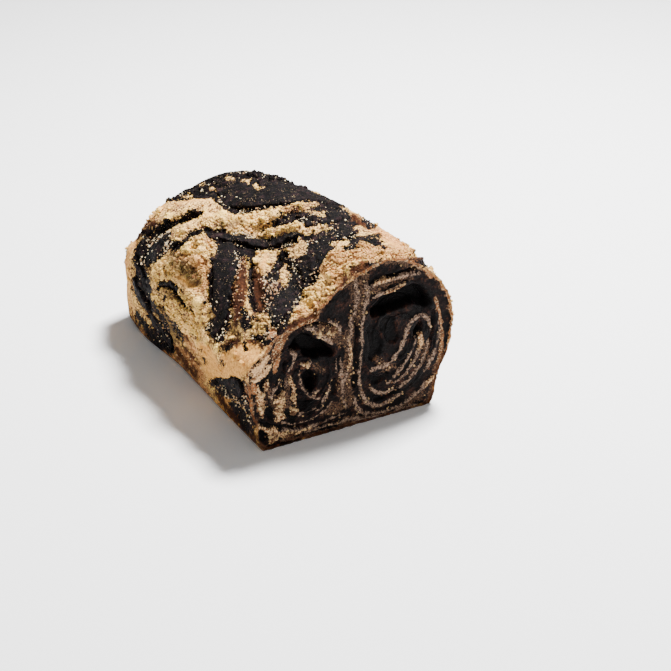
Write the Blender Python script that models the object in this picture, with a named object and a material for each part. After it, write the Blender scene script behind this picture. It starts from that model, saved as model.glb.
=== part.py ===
"""Chocolate babka: a pan loaf with one end cut off, standing on its flat base.

The loaf lies along Y. Its cut end faces -Y, its baked end faces +Y, and z = 0 is the base.
A point of the crust is named by two values: a turn round the loaf's long axis, with 0 straight
up and 90 degrees toward +X, and a run along it. The run is plain y up to the rounded far end,
and goes on from there over the end to its middle.
"""

import math
import random

import bmesh
import bpy
import numpy as np
from mathutils import Matrix, Vector

# Size of the loaf
LOAF_LENGTH = 0.188
BASE_WIDTH = 0.108
AXIS_HEIGHT = 0.045
WALL_SLOPE = 0.10
WALL_BULGE = 0.0015
FAR_SWELL = 0.0055
FAR_SLOPE = 0.030
SWELL_START = 0.005
SWELL_LENGTH = 0.055
SHOULDER_HEIGHT = 0.058
END_DEPTH = 0.042
END_RUN = 0.066
CUT_Y = -LOAF_LENGTH / 2
FAR_Y = LOAF_LENGTH / 2
END_START = FAR_Y - END_DEPTH
LAST_RUN = END_START + END_RUN

# Roundness of the blends, as powers: a higher one gives a sharper edge, and pairs run from
# the body of the loaf to its far end
SHOULDER_POWERS = (5.0, 2.6)
STRAND_POWERS = (18.0, 8.0)
BASE_POWER = 18
BASE_DROP = 0.002
DOME_END_POWER = 2.8
BLOCK_END_POWERS = (5.0, 3.4)

# The two twisted strands: y, then centre x, centre z and radius of the left and the right one
STRANDS = (
    (-0.094, (-0.024, 0.037, 0.0340), (0.021, 0.050, 0.0445)),
    (-0.060, (-0.025, 0.043, 0.0350), (0.022, 0.052, 0.0460)),
    (-0.020, (-0.026, 0.049, 0.0360), (0.020, 0.053, 0.0450)),
    (0.020, (-0.026, 0.050, 0.0370), (0.014, 0.052, 0.0450)),
    (0.060, (-0.021, 0.044, 0.0400), (0.010, 0.0485, 0.0440)),
    (0.094, (-0.012, 0.040, 0.0420), (0.008, 0.046, 0.0420)),
)

# Folds between the strands, as turn in degrees and run in mm along each one
FOLD_DEPTH = 0.0038
FOLD_WIDTH = 0.0050
FOLD_STEP = 0.004
FOLDS = (
    ((52, -24), (30, -19), (14, -18), (2, -6), (-12, 4), (-26, 16), (-40, 30), (-54, 40),
     (-68, 50)),
    ((-30, -22), (-40, -38), (-49, -52), (-56, -64), (-64, -74)),
)

# Chocolate swirls that lie open on the crust: turn in degrees, run in mm, half width in mm
SWIRLS = {
    "swirl_top": ((-40, 60, 3), (-26, 50, 8), (-8, 36, 14), (8, 22, 17), (24, 8, 16),
                  (40, -2, 10), (56, -6, 5)),
    "swirl_middle": ((-49, 10, 2), (-38, -3, 3.5), (-26, -15, 4), (-12, -27, 4.5), (2, -33, 5),
                     (16, -35, 6), (30, -31, 7), (44, -25, 7), (58, -26, 5)),
    "swirl_tongue": ((-38, -10, 5), (-47, -24, 7), (-56, -36, 7), (-66, -45, 6.5),
                     (-76, -51, 6.5), (-83, -54, 4)),
    "swirl_cut_side": ((42, -43, 6), (24, -51, 7), (8, -57, 8), (-8, -61, 8.5), (-24, -66, 8.5),
                       (-38, -71, 7.5), (-50, -78, 6), (-60, -85, 3.5)),
    "swirl_left_patch": ((-42, 34, 1.5), (-52, 34, 3), (-62, 32, 6), (-71, 34, 8), (-80, 41, 7)),
    "swirl_left_wall": ((-92, 56, 4), (-100, 52, 5), (-108, 43, 5), (-114, 30, 5), (-119, 14, 4)),
    "swirl_left_thin": ((-82, 20, 2), (-77, 9, 3), (-75, -4, 3), (-75, -17, 2)),
    "swirl_cut_corner": ((-107, -50, 4), (-103, -62, 6), (-100, -75, 7), (-98, -88, 5)),
    "swirl_right_high": ((72, 34, 4), (82, 22, 7), (93, 9, 7), (104, -4, 5)),
    "swirl_right_low": ((66, -52, 4), (79, -61, 6), (92, -69, 7), (104, -78, 5)),
    "swirl_far_end": ((-40, 88, 4), (-14, 82, 7), (14, 78, 8), (40, 74, 7), (64, 68, 5), (84, 58, 3)),
}
SWIRL_DEPTH = 0.0030
SWIRL_LIFT = 0.0006
SWIRL_STEP = 0.0075
SWIRL_CROSS_STEP = 0.0080
SWIRL_TIP = 0.0008
CRUST_REACH = 0.052

# Rolled-in chocolate: two coils that run back from the cut through the loaf
COIL_LEFT = {
    "front": (-0.027, 0.038, 1.0), "back": (-0.029, 0.046, 0.9),
    "outer": (0.023, 0.026), "inner": (0.0045, 0.0055),
    "start": -55, "turns": 2.6, "sense": -1, "hollow_at": 95,
}
COIL_RIGHT = {
    "front": (0.031, 0.049, 1.0), "back": (0.024, 0.050, 0.85),
    "outer": (0.027, 0.036), "inner": (0.0055, 0.0080),
    "start": -120, "turns": 2.9, "sense": 1, "hollow_at": 100,
}
COIL_THICK_OUTER = 0.0048
COIL_THICK_INNER = 0.0032
COIL_STEPS_A_TURN = 17
COIL_BACK_Y = 0.060
COIL_HOLLOW = 0.0060
COIL_HOLLOW_SPAN = 60

# Baked crumbs of the topping, and the strips of crust they lie on: degrees, mm, half width in mm
CRUMB_FIELDS = {
    "ridge": ((-62, 47, 4), (-47, 42, 5), (-34, 27, 6), (-20, 10, 7), (-4, -8, 7),
              (12, -21, 5), (28, -20, 4)),
    "left_top": ((-55, 18, 7), (-60, 3, 9), (-62, -14, 9)),
    "left_edge": ((-66, -26, 6), (-80, -34, 9), (-88, -46, 10), (-90, -62, 10),
                  (-84, -77, 8), (-74, -84, 6)),
    "centre": ((-27, -29, 5), (-36, -43, 5)),
    "cut_top": ((-18, -82, 5), (-4, -79, 7), (12, -76, 8), (28, -74, 7), (44, -70, 7), (58, -60, 6)),
    "right_top": ((62, -40, 6), (72, -20, 7), (70, 4, 8), (58, 24, 8), (40, 36, 9), (20, 48, 8)),
    "far_top": ((-56, 66, 6), (-34, 72, 6), (-8, 66, 7), (20, 62, 7), (48, 58, 7), (72, 54, 6)),
}
CRUMB_COUNT = 126
CRUMB_TRIES = 20000
CRUMB_RADIUS = (0.0020, 0.0040)
CRUMB_RISE = 0.15
CRUMB_FLATNESS = 0.75
CRUMB_JITTER = 0.16
CRUMB_TURNS = (-98, 84)
CRUMB_CLEAR = 0.0010
CRUMB_SPACING = 0.88
CRUMB_EDGE = 0.006
CRUMB_LAST_RUN = LAST_RUN - 0.030
SEED = 12

# Mesh fineness, the gap left between pieces that touch, and what keeps divisions sound
UPPER_STEPS = 39
BASE_STEPS = 8
CORNER_STEP = 3.5
CORNER_LEAST = 15.0
RUN_STEPS = 19
END_ANGLES = (0, 12, 24, 35, 46, 56, 65, 73, 80, 86)
GAP = 0.0003
SHORTEST_EDGE = 0.00004
CUTTER_REACH = 0.006
NORMAL_STEP = 0.0001
LEAST_WIDTH = 0.0001
LEAST_REACH = 0.004
LEAST_SINE = 0.001
END_REST = 1e-6
TINY = 1e-12
FAR_AWAY = 1000.0

# Colour and roughness of each finish, and the angle up to which an edge is shaded smooth
FINISHES = {
    "baked_dough": ((0.62, 0.41, 0.22), 0.8),
    "swirl_chocolate": ((0.030, 0.018, 0.020), 0.55),
    "rolled_chocolate": ((0.022, 0.012, 0.010), 0.4),
}
SMOOTH_DEGREES = 40


def smooth_min(terms, power):
    """Return the blended smallest of the terms."""
    return sum(term ** -power for term in terms) ** (-1 / power)


def smooth_max(terms, power):
    """Return the blended largest of the terms."""
    return sum(term ** power for term in terms) ** (1 / power)


def strand_reach(sine, cosine, y, side):
    """Return how far a strand's round outline lies from the axis in one direction."""
    stations = [row[0] for row in STRANDS]
    centre_x, centre_z, radius = (
        np.interp(y, stations, [row[side][part] for row in STRANDS]) for part in range(3)
    )
    rise = centre_z - AXIS_HEIGHT
    along = centre_x * sine + rise * cosine
    inside = radius ** 2 - (centre_x ** 2 + rise ** 2) + along ** 2
    return np.maximum(along + np.sqrt(np.maximum(inside, 0)), LEAST_REACH)


def run_to_y(run):
    """Return y for a run along the crust, which bends round the far end."""
    over = np.clip((run - END_START) / END_RUN, 0, 1)
    return np.where(run < END_START, run, END_START + END_DEPTH * np.sin(over * math.pi / 2))


def smooth_path(points, step):
    """Return points along a smooth curve through the given ones, at about one step apart."""
    points = np.array(points, dtype=float)
    ends = np.vstack([2 * points[0] - points[1], points, 2 * points[-1] - points[-2]])
    path = []
    for index in range(1, len(ends) - 2):
        before, start, stop, after = ends[index - 1:index + 3]
        count = max(2, int(math.ceil(np.linalg.norm((stop - start)[:2]) / step)))
        for t in np.arange(count) / count:
            path.append(0.5 * (2 * start + (stop - before) * t
                               + (2 * before - 5 * start + 4 * stop - after) * t ** 2
                               + (3 * start - before - 3 * stop + after) * t ** 3))
    path.append(points[-1])
    return np.array(path)


def flat_points(rows):
    """Return rows of degrees and mm as metres on the crust laid flat."""
    table = np.array(rows, dtype=float)
    table[:, 0] = np.radians(table[:, 0]) * CRUST_REACH
    table[:, 1:] *= 0.001
    return table


def distance_to_path(across, run, path):
    """Return the distance to a path on the flat crust, and the path's own third value there."""
    best = np.full(np.shape(across), FAR_AWAY)
    width = np.zeros(np.shape(across))
    for start, stop in zip(path[:-1], path[1:]):
        edge = stop[:2] - start[:2]
        t = ((across - start[0]) * edge[0] + (run - start[1]) * edge[1]) / max(edge @ edge, TINY)
        t = np.clip(t, 0, 1)
        gap = np.hypot(across - start[0] - t * edge[0], run - start[1] - t * edge[1])
        nearer = gap < best
        best = np.where(nearer, gap, best)
        if len(start) > 2:
            width = np.where(nearer, start[2] + t * (stop[2] - start[2]), width)
    return best, width


FOLD_PATHS = [smooth_path(flat_points(fold), FOLD_STEP) for fold in FOLDS]


def wall_line(run):
    """Return how far the side wall stands out at the axis height, and its outward slope.

    The wall bulges at mid-length, and it is wider and steeper toward the far end.
    """
    share = np.clip((run_to_y(run) - SWELL_START) / SWELL_LENGTH, 0, 1)
    swell = share * share * (3 - 2 * share)
    slope = WALL_SLOPE + (FAR_SLOPE - WALL_SLOPE) * swell
    bulge = WALL_BULGE * (1 - (2 * run_to_y(run) / LOAF_LENGTH) ** 2)
    return BASE_WIDTH / 2 + FAR_SWELL * swell + slope * AXIS_HEIGHT + bulge, slope


def end_shares(run):
    """Return how far over the end a run lies, and the sizes left there of the dome and the block."""
    over = np.clip((run_to_y(run) - END_START) / END_DEPTH, 0, 1)
    dome = np.maximum(1 - over ** DOME_END_POWER, END_REST) ** (1 / DOME_END_POWER)
    block = np.maximum(1 - over ** BLOCK_END_POWERS[0], END_REST) ** (1 / BLOCK_END_POWERS[1])
    return over, dome, block


def crust_reach(turn, run):
    """Return the distance from the axis to the crust at a turn in radians and a run."""
    sine, cosine = np.sin(turn), np.cos(turn)
    over, dome_end, block_end = end_shares(run)
    wall_reach, slope = wall_line(run)
    wall = wall_reach / np.maximum(np.abs(sine) - slope * cosine, LEAST_SINE)
    shoulder = (SHOULDER_HEIGHT - AXIS_HEIGHT) / np.maximum(cosine, LEAST_SINE)
    shoulder_power, strand_power = (
        body + (end - body) * over for body, end in (SHOULDER_POWERS, STRAND_POWERS)
    )
    block = smooth_min([wall, shoulder], shoulder_power) * block_end
    strands = [strand_reach(sine, cosine, run_to_y(run), side) * dome_end for side in (1, 2)]
    reach = smooth_max([*strands, block], strand_power)
    for path in FOLD_PATHS:
        gap, _ = distance_to_path(turn * CRUST_REACH, run, path)
        reach = reach - FOLD_DEPTH * np.exp(-(gap / FOLD_WIDTH) ** 2)
    base = (AXIS_HEIGHT + BASE_DROP) / np.maximum(-cosine, LEAST_SINE)
    return smooth_min([reach, base], BASE_POWER)


def crust_point(turn, run, lift=0.0):
    """Return the crust's point at a turn and a run, lifted along the ray from the axis."""
    reach = crust_reach(turn, run) + lift
    height = np.maximum(AXIS_HEIGHT + reach * np.cos(turn), 0.0)
    return np.stack([reach * np.sin(turn), run_to_y(run) + 0 * reach, height], axis=-1)


def crust_normal(turn, run):
    """Return the crust's outward unit normal at a turn and a run."""
    aside = NORMAL_STEP / CRUST_REACH
    around = crust_point(turn + aside, run) - crust_point(turn - aside, run)
    along = crust_point(turn, run + NORMAL_STEP) - crust_point(turn, run - NORMAL_STEP)
    normal = np.cross(along, around)
    return normal / np.linalg.norm(normal)


def make_material(name):
    """Return a plain Principled material with the colour and roughness of a finish."""
    colour, roughness = FINISHES[name]
    material = bpy.data.materials.new(name)
    material.use_nodes = True
    shader = material.node_tree.nodes["Principled BSDF"]
    shader.inputs["Base Color"].default_value = (*colour, 1.0)
    shader.inputs["Roughness"].default_value = roughness
    shader.inputs["Metallic"].default_value = 0.0
    material.diffuse_color = (*colour, 1.0)
    return material


def make_object(name, vertices, faces, material=None):
    """Return a new scene object from vertices and faces, with its normals turned outward."""
    mesh = bpy.data.meshes.new(name)
    mesh.from_pydata([tuple(vertex) for vertex in vertices], [], faces)
    shell = bmesh.new()
    shell.from_mesh(mesh)
    bmesh.ops.recalc_face_normals(shell, faces=shell.faces)
    shell.to_mesh(mesh)
    shell.free()
    if material:
        mesh.materials.append(material)
    piece = bpy.data.objects.new(name, mesh)
    bpy.context.scene.collection.objects.link(piece)
    return piece


def lattice_faces(rows, columns, start=0, closed=False, mirrored=()):
    """Return the triangles of a grid of vertices, closed round its columns if asked.

    Cells are split along the same diagonal, so that a swirl and its pocket keep an even gap,
    except in the mirrored columns, where they are split along the other one.
    """
    faces = []
    for row in range(rows - 1):
        for column in range(columns if closed else columns - 1):
            right = (column + 1) % columns
            here, above = start + row * columns, start + (row + 1) * columns
            corners = [here + column, here + right, above + right, above + column]
            if column in mirrored:
                corners = corners[1:] + corners[:1]
            faces.append((corners[0], corners[1], corners[2]))
            faces.append((corners[0], corners[2], corners[3]))
    return faces


def ring_turns(run):
    """Return the turns of one ring's points, of which some follow the corners of the base."""
    block_end = end_shares(run)[2]
    wall_reach, slope = wall_line(run)
    lean = math.atan(block_end * wall_reach / (AXIS_HEIGHT + BASE_DROP) - slope)
    corner = math.pi - max(lean, math.radians(CORNER_LEAST))
    above = corner - math.radians(CORNER_STEP)
    upper = np.linspace(-above, above, UPPER_STEPS)
    base = np.linspace(corner, 2 * math.pi - corner, BASE_STEPS)
    return np.concatenate([upper, base])


def build_loaf_body(material):
    """Return the bare loaf: rings along the run, a flat cut face and a closed far end."""
    columns = UPPER_STEPS + BASE_STEPS
    runs = np.concatenate([
        np.linspace(CUT_Y, END_START, RUN_STEPS, endpoint=False),
        END_START + END_RUN * np.array(END_ANGLES) / 90,
    ])
    vertices = np.concatenate([crust_point(ring_turns(run), run) for run in runs])
    right_side = range(UPPER_STEPS // 2, UPPER_STEPS + BASE_STEPS // 2)
    faces = lattice_faces(len(runs), columns, closed=True, mirrored=right_side)
    faces.append(tuple(range(columns)))
    pole = len(vertices)
    last = pole - columns
    vertices = np.vstack([vertices, [0.0, FAR_Y, AXIS_HEIGHT]])
    for column in range(columns):
        faces.append((last + column, last + (column + 1) % columns, pole))
    return make_object("dough", vertices, faces, material)


def push_border(grid, grow):
    """Return a grid of points with its border moved outward in its own surface."""
    grid = grid.copy()
    if grow:
        for view in (grid, np.swapaxes(grid, 0, 1)):
            for border, inner in ((0, 1), (-1, -2)):
                outward = view[border] - view[inner]
                view[border] += grow * outward / np.linalg.norm(outward, axis=-1)[:, None]
    return grid


def swirl_solid(name, rows, material=None, grow=0.0, top=SWIRL_LIFT):
    """Return a swirl as a closed strip laid into the crust, grown on every side if asked."""
    path = smooth_path(flat_points(rows), SWIRL_STEP)
    tangents = np.gradient(path[:, :2], axis=0)
    tangents /= np.linalg.norm(tangents, axis=1)[:, None]
    sides = np.stack([-tangents[:, 1], tangents[:, 0]], axis=1)
    lengths = np.concatenate([[0], np.cumsum(np.linalg.norm(np.diff(path[:, :2], axis=0), axis=1))])
    to_tip = np.minimum(lengths, lengths[-1] - lengths)
    rounding = np.sqrt(np.clip(to_tip / np.maximum(path[:, 2], LEAST_WIDTH), 0, 1))
    half = np.maximum(path[:, 2] * rounding, SWIRL_TIP)
    columns = max(3, int(round(2 * path[:, 2].max() / SWIRL_CROSS_STEP)) + 1)
    offsets = np.linspace(-1, 1, columns)
    flat = path[:, None, :2] + sides[:, None, :] * (offsets[None, :, None] * half[:, None, None])
    turns = flat[..., 0] / CRUST_REACH
    upper = push_border(crust_point(turns, flat[..., 1], top), grow)
    lower = push_border(crust_point(turns, flat[..., 1], -SWIRL_DEPTH - grow), grow)
    count = turns.size
    stations = len(path)
    faces = lattice_faces(stations, columns) + lattice_faces(stations, columns, start=count)
    for row in range(stations - 1):
        for column in (0, columns - 1):
            here, above = row * columns + column, (row + 1) * columns + column
            faces.append((here, above, above + count, here + count))
    for row in (0, stations - 1):
        for column in range(columns - 1):
            here = row * columns + column
            faces.append((here, here + 1, here + 1 + count, here + count))
    vertices = np.concatenate([upper.reshape(-1, 3), lower.reshape(-1, 3)])
    return make_object(name, vertices, faces, material)


def coil_outline(coil, centre, grow):
    """Return the two sides of a coil's strip as rows of x and z, from its outer end inward."""
    steps = int(round(coil["turns"] * COIL_STEPS_A_TURN))
    t = np.linspace(0, 1, steps + 1)
    angle = math.radians(coil["start"]) + coil["sense"] * coil["turns"] * 2 * math.pi * t
    radius_x = (coil["outer"][0] + (coil["inner"][0] - coil["outer"][0]) * t) * centre[2]
    radius_z = (coil["outer"][1] + (coil["inner"][1] - coil["outer"][1]) * t) * centre[2]
    line = np.stack([centre[0] + radius_x * np.cos(angle), centre[1] + radius_z * np.sin(angle)], axis=1)
    tangents = np.gradient(line, axis=0)
    tangents /= np.linalg.norm(tangents, axis=1)[:, None]
    normals = np.stack([-tangents[:, 1], tangents[:, 0]], axis=1)
    line[0] -= tangents[0] * grow
    line[-1] += tangents[-1] * grow
    half = (COIL_THICK_OUTER + (COIL_THICK_INNER - COIL_THICK_OUTER) * t) / 2 * centre[2] + grow
    return line + normals * half[:, None], line - normals * half[:, None], np.degrees(angle)


def coil_solid(name, coil, material=None, grow=0.0):
    """Return a coil's strip as a closed solid that runs back from the cut."""
    left, right, angles = coil_outline(coil, coil["front"], grow)
    back_left, back_right, _ = coil_outline(coil, coil["back"], grow)
    turned = (angles - coil["hollow_at"] + 180) % 360 - 180
    first_turn = np.arange(len(angles)) < COIL_STEPS_A_TURN
    hollow = np.where(first_turn, np.cos(np.clip(turned / COIL_HOLLOW_SPAN, -1, 1) * math.pi / 2), 0)
    front_y = CUT_Y + COIL_HOLLOW * hollow
    if grow:
        front_y = np.full(len(angles), CUT_Y - CUTTER_REACH)
    back_y = COIL_BACK_Y + grow
    slope = (front_y - CUT_Y) / (COIL_BACK_Y - CUT_Y)
    rings = []
    for share in (None, 0.5, 1.0):
        weight = slope if share is None else share
        y = front_y if share is None else CUT_Y + (back_y - CUT_Y) * share
        for near, far in ((left, back_left), (right, back_right)):
            line = near + (far - near) * np.reshape(weight, (-1, 1))
            rings.append(np.stack([line[:, 0], np.broadcast_to(y, len(line)), line[:, 1]], axis=1))
    count = len(angles)
    vertices = np.concatenate(rings)
    faces = []
    for step in range(count - 1):
        for level in (0, 1):
            for side in (0, 1):
                here = (level * 2 + side) * count + step
                above = here + 2 * count
                faces.append((here, here + 1, above + 1, above))
        for ring in (0, 4):
            here = ring * count + step
            faces.append((here, here + 1, here + count + 1, here + count))
    for level in (0, 1):
        for end in (0, count - 1):
            here = level * 2 * count + end
            faces.append((here, here + count, here + 3 * count, here + 2 * count))
    return make_object(name, vertices, faces, material)


def baked(piece):
    """Swap a piece's mesh for its evaluated one and clear its modifiers."""
    graph = bpy.context.evaluated_depsgraph_get()
    mesh = bpy.data.meshes.new_from_object(piece.evaluated_get(graph))
    piece.modifiers.clear()
    piece.data = mesh


def cut(piece, cutter):
    """Cut one closed solid out of another and remove the cutter.

    The manifold solver is used here and for the crumbs: on this crust the exact one leaves
    folded slivers and edges with four faces, which no valid solid can be made of.
    """
    step = piece.modifiers.new("cut", "BOOLEAN")
    step.operation = "DIFFERENCE"
    step.solver = "MANIFOLD"
    step.object = cutter
    baked(piece)
    bpy.data.objects.remove(cutter)


def inside_any(across, run, strips, room):
    """Return whether a spot on the flat crust lies on a strip or within some room of one."""
    for path in strips:
        gap, half = distance_to_path(across, run, path)
        if gap < half + room:
            return True
    return False


def crumb_spots(draw):
    """Return turn, run and radius of each crumb, largest first and spread over the topping."""
    swirls = [smooth_path(flat_points(rows), SWIRL_STEP) for rows in SWIRLS.values()]
    fields = [smooth_path(flat_points(rows), SWIRL_STEP) for rows in CRUMB_FIELDS.values()]
    spots = []
    for _ in range(CRUMB_TRIES):
        if len(spots) >= CRUMB_COUNT:
            break
        share = len(spots) / CRUMB_COUNT
        radius = CRUMB_RADIUS[1] + (CRUMB_RADIUS[0] - CRUMB_RADIUS[1]) * share
        turn = math.radians(draw.uniform(*CRUMB_TURNS))
        run = draw.uniform(CUT_Y + CRUMB_EDGE, CRUMB_LAST_RUN)
        across = turn * CRUST_REACH
        if not inside_any(across, run, fields, 0):
            continue
        stretch = max(1.0, CRUST_REACH / float(crust_reach(turn, run)))
        spaced = all(
            math.hypot(across - other[0] * CRUST_REACH, run - other[1])
            > CRUMB_SPACING * stretch * (radius + other[2])
            for other in spots
        )
        if spaced and not inside_any(across, run, swirls, (radius + CRUMB_CLEAR) * stretch):
            spots.append((turn, run, radius))
    return spots


def build_crumbs(collection, draw):
    """Fill a collection with small uneven lumps, each sunk a little into the crust."""
    for number, (turn, run, radius) in enumerate(crumb_spots(draw)):
        shell = bmesh.new()
        bmesh.ops.create_icosphere(shell, subdivisions=1, radius=radius)
        for vertex in shell.verts:
            vertex.co *= 1 + draw.uniform(-CRUMB_JITTER, CRUMB_JITTER)
            vertex.co.z *= CRUMB_FLATNESS
        normal = Vector(crust_normal(turn, run))
        place = Vector(crust_point(turn, run)) + normal * radius * CRUMB_FLATNESS * CRUMB_RISE
        spin = Matrix.Rotation(draw.uniform(0, 2 * math.pi), 4, "Z")
        turned = normal.to_track_quat("Z", "Y").to_matrix().to_4x4()
        shell.transform(Matrix.Translation(place) @ turned @ spin)
        mesh = bpy.data.meshes.new(f"crumb_{number}")
        shell.to_mesh(mesh)
        shell.free()
        collection.objects.link(bpy.data.objects.new(mesh.name, mesh))


def join_crumbs(dough):
    """Fuse the crumbs to the loaf with one union, then remove the loose ones."""
    collection = bpy.data.collections.new("crumbs")
    bpy.context.scene.collection.children.link(collection)
    build_crumbs(collection, random.Random(SEED))
    step = dough.modifiers.new("crumbs", "BOOLEAN")
    step.operation = "UNION"
    step.solver = "MANIFOLD"
    step.operand_type = "COLLECTION"
    step.collection = collection
    baked(dough)
    for crumb in list(collection.objects):
        bpy.data.objects.remove(crumb)
    bpy.data.collections.remove(collection)


def keep_largest_body(piece):
    """Drop loose scraps and sealed hollows: only the largest joined shell stays."""
    shell = bmesh.new()
    shell.from_mesh(piece.data)
    left = set(shell.faces)
    groups = []
    while left:
        group = set()
        front = [left.pop()]
        while front:
            face = front.pop()
            group.add(face)
            for edge in face.edges:
                for other in edge.link_faces:
                    if other in left:
                        left.discard(other)
                        front.append(other)
        groups.append(group)
    groups.sort(key=len, reverse=True)
    for group in groups[1:]:
        bmesh.ops.delete(shell, geom=list(group), context="FACES")
    bmesh.ops.triangulate(shell, faces=shell.faces)
    bmesh.ops.dissolve_degenerate(shell, dist=SHORTEST_EDGE, edges=shell.edges)
    bmesh.ops.triangulate(shell, faces=shell.faces)
    shell.to_mesh(piece.data)
    shell.free()


def shade(piece):
    """Shade a piece smooth but keep its sharp edges."""
    piece.data.shade_smooth()
    piece.data.set_sharp_from_angle(angle=math.radians(SMOOTH_DEGREES))


def build_babka():
    """Build every sub-part of the loaf."""
    for old in list(bpy.data.objects):
        bpy.data.objects.remove(old)
    chocolate = make_material("swirl_chocolate")
    rolled = make_material("rolled_chocolate")
    dough = build_loaf_body(make_material("baked_dough"))
    coils = {"filling_coil_left": COIL_LEFT, "filling_coil_right": COIL_RIGHT}
    for name, coil in coils.items():
        cut(dough, coil_solid("cutter", coil, grow=GAP))
        shade(coil_solid(name, coil, rolled))
    for name, rows in SWIRLS.items():
        cut(dough, swirl_solid("cutter", rows, grow=GAP, top=CUTTER_REACH))
        shade(swirl_solid(name, rows, chocolate))
    join_crumbs(dough)
    keep_largest_body(dough)
    shade(dough)


build_babka()
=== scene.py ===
"""Looks of the chocolate babka: crust, cut face, chocolate swirls, crumb topping and the light.

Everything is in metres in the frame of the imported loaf: it lies along Y, its cut end faces -Y,
and z = 0 is the flat base. A point of the crust is named as in the part's source, by a turn
round the long axis and a run along it.
"""

import logging
import math
import random
from collections.abc import Callable
from dataclasses import dataclass
from enum import Enum

import bmesh
import bpy
import numpy as np
from mathutils import Matrix, Vector, noise


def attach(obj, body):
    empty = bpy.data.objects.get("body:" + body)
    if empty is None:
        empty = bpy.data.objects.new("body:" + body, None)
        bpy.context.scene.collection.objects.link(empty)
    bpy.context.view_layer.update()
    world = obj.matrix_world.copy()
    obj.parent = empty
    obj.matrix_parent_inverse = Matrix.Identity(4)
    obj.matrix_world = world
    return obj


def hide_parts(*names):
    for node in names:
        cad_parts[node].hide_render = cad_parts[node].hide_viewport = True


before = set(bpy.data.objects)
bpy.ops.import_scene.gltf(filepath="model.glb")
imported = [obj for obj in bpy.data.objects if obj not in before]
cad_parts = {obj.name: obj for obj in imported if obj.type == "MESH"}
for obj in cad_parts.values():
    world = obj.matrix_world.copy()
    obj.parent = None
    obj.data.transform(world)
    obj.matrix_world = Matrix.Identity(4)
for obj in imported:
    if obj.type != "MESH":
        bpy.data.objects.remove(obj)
LOG = logging.getLogger("babka")
Array = np.ndarray
Rows = tuple[tuple[float, ...], ...]
Marks = dict[str, Array]
Screen = tuple[float, float, float]
PlaceRule = Callable[[Array, Array], tuple[Array, Marks]]
TINY = 1e-12
FAR_OFF = 1000.0


# Shape of the loaf


def smooth_min(terms: list[Array], power: Array | float) -> Array:
    """Return the blended smallest of the terms."""
    return sum(term ** -power for term in terms) ** (-1 / power)


def smooth_max(terms: list[Array], power: Array | float) -> Array:
    """Return the blended largest of the terms."""
    return sum(term ** power for term in terms) ** (1 / power)


def smooth_path(points: Array, step: float) -> Array:
    """Return points along a smooth curve through the given ones.

    Args:
        points: rows whose first two values are the place.
        step: the spacing of the new points in the same unit.

    Returns:
        The new rows, with any further values carried along.
    """
    ends = np.vstack([2 * points[0] - points[1], points, 2 * points[-1] - points[-2]])
    path = []
    for index in range(1, len(ends) - 2):
        before, start, stop, after = ends[index - 1:index + 3]
        count = max(2, int(math.ceil(np.linalg.norm((stop - start)[:2]) / step)))
        for t in np.arange(count) / count:
            path.append(0.5 * (2 * start + (stop - before) * t
                               + (2 * before - 5 * start + 4 * stop - after) * t ** 2
                               + (3 * start - before - 3 * stop + after) * t ** 3))
    path.append(points[-1])
    return np.array(path)


def distance_to_path(across: Array, along: Array, path: Array) -> tuple[Array, Array]:
    """Measure how far spots lie from a path.

    Args:
        across: first value of each spot.
        along: second value of each spot.
        path: rows of place and, as a third value, a half width.

    Returns:
        The distance of each spot to the path, and the path's half width there.
    """
    best = np.full(np.shape(across), FAR_OFF)
    width = np.zeros(np.shape(across))
    for start, stop in zip(path[:-1], path[1:]):
        edge = stop[:2] - start[:2]
        t = ((across - start[0]) * edge[0] + (along - start[1]) * edge[1]) / max(edge @ edge, TINY)
        t = np.clip(t, 0, 1)
        gap = np.hypot(across - start[0] - t * edge[0], along - start[1] - t * edge[1])
        nearer = gap < best
        best = np.where(nearer, gap, best)
        if len(start) > 2:
            width = np.where(nearer, start[2] + t * (stop[2] - start[2]), width)
    return best, width


def depth_inside(across: Array, along: Array, table: Array, step: float) -> Array:
    """Measure how deep spots lie inside a strip.

    Args:
        across: first value of each spot.
        along: second value of each spot.
        table: the strip's rows of place and half width.
        step: spacing of the points on its smooth path.

    Returns:
        The depth of each spot, negative outside.
    """
    gap, half = distance_to_path(across, along, smooth_path(table, step))
    return half - gap


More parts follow.
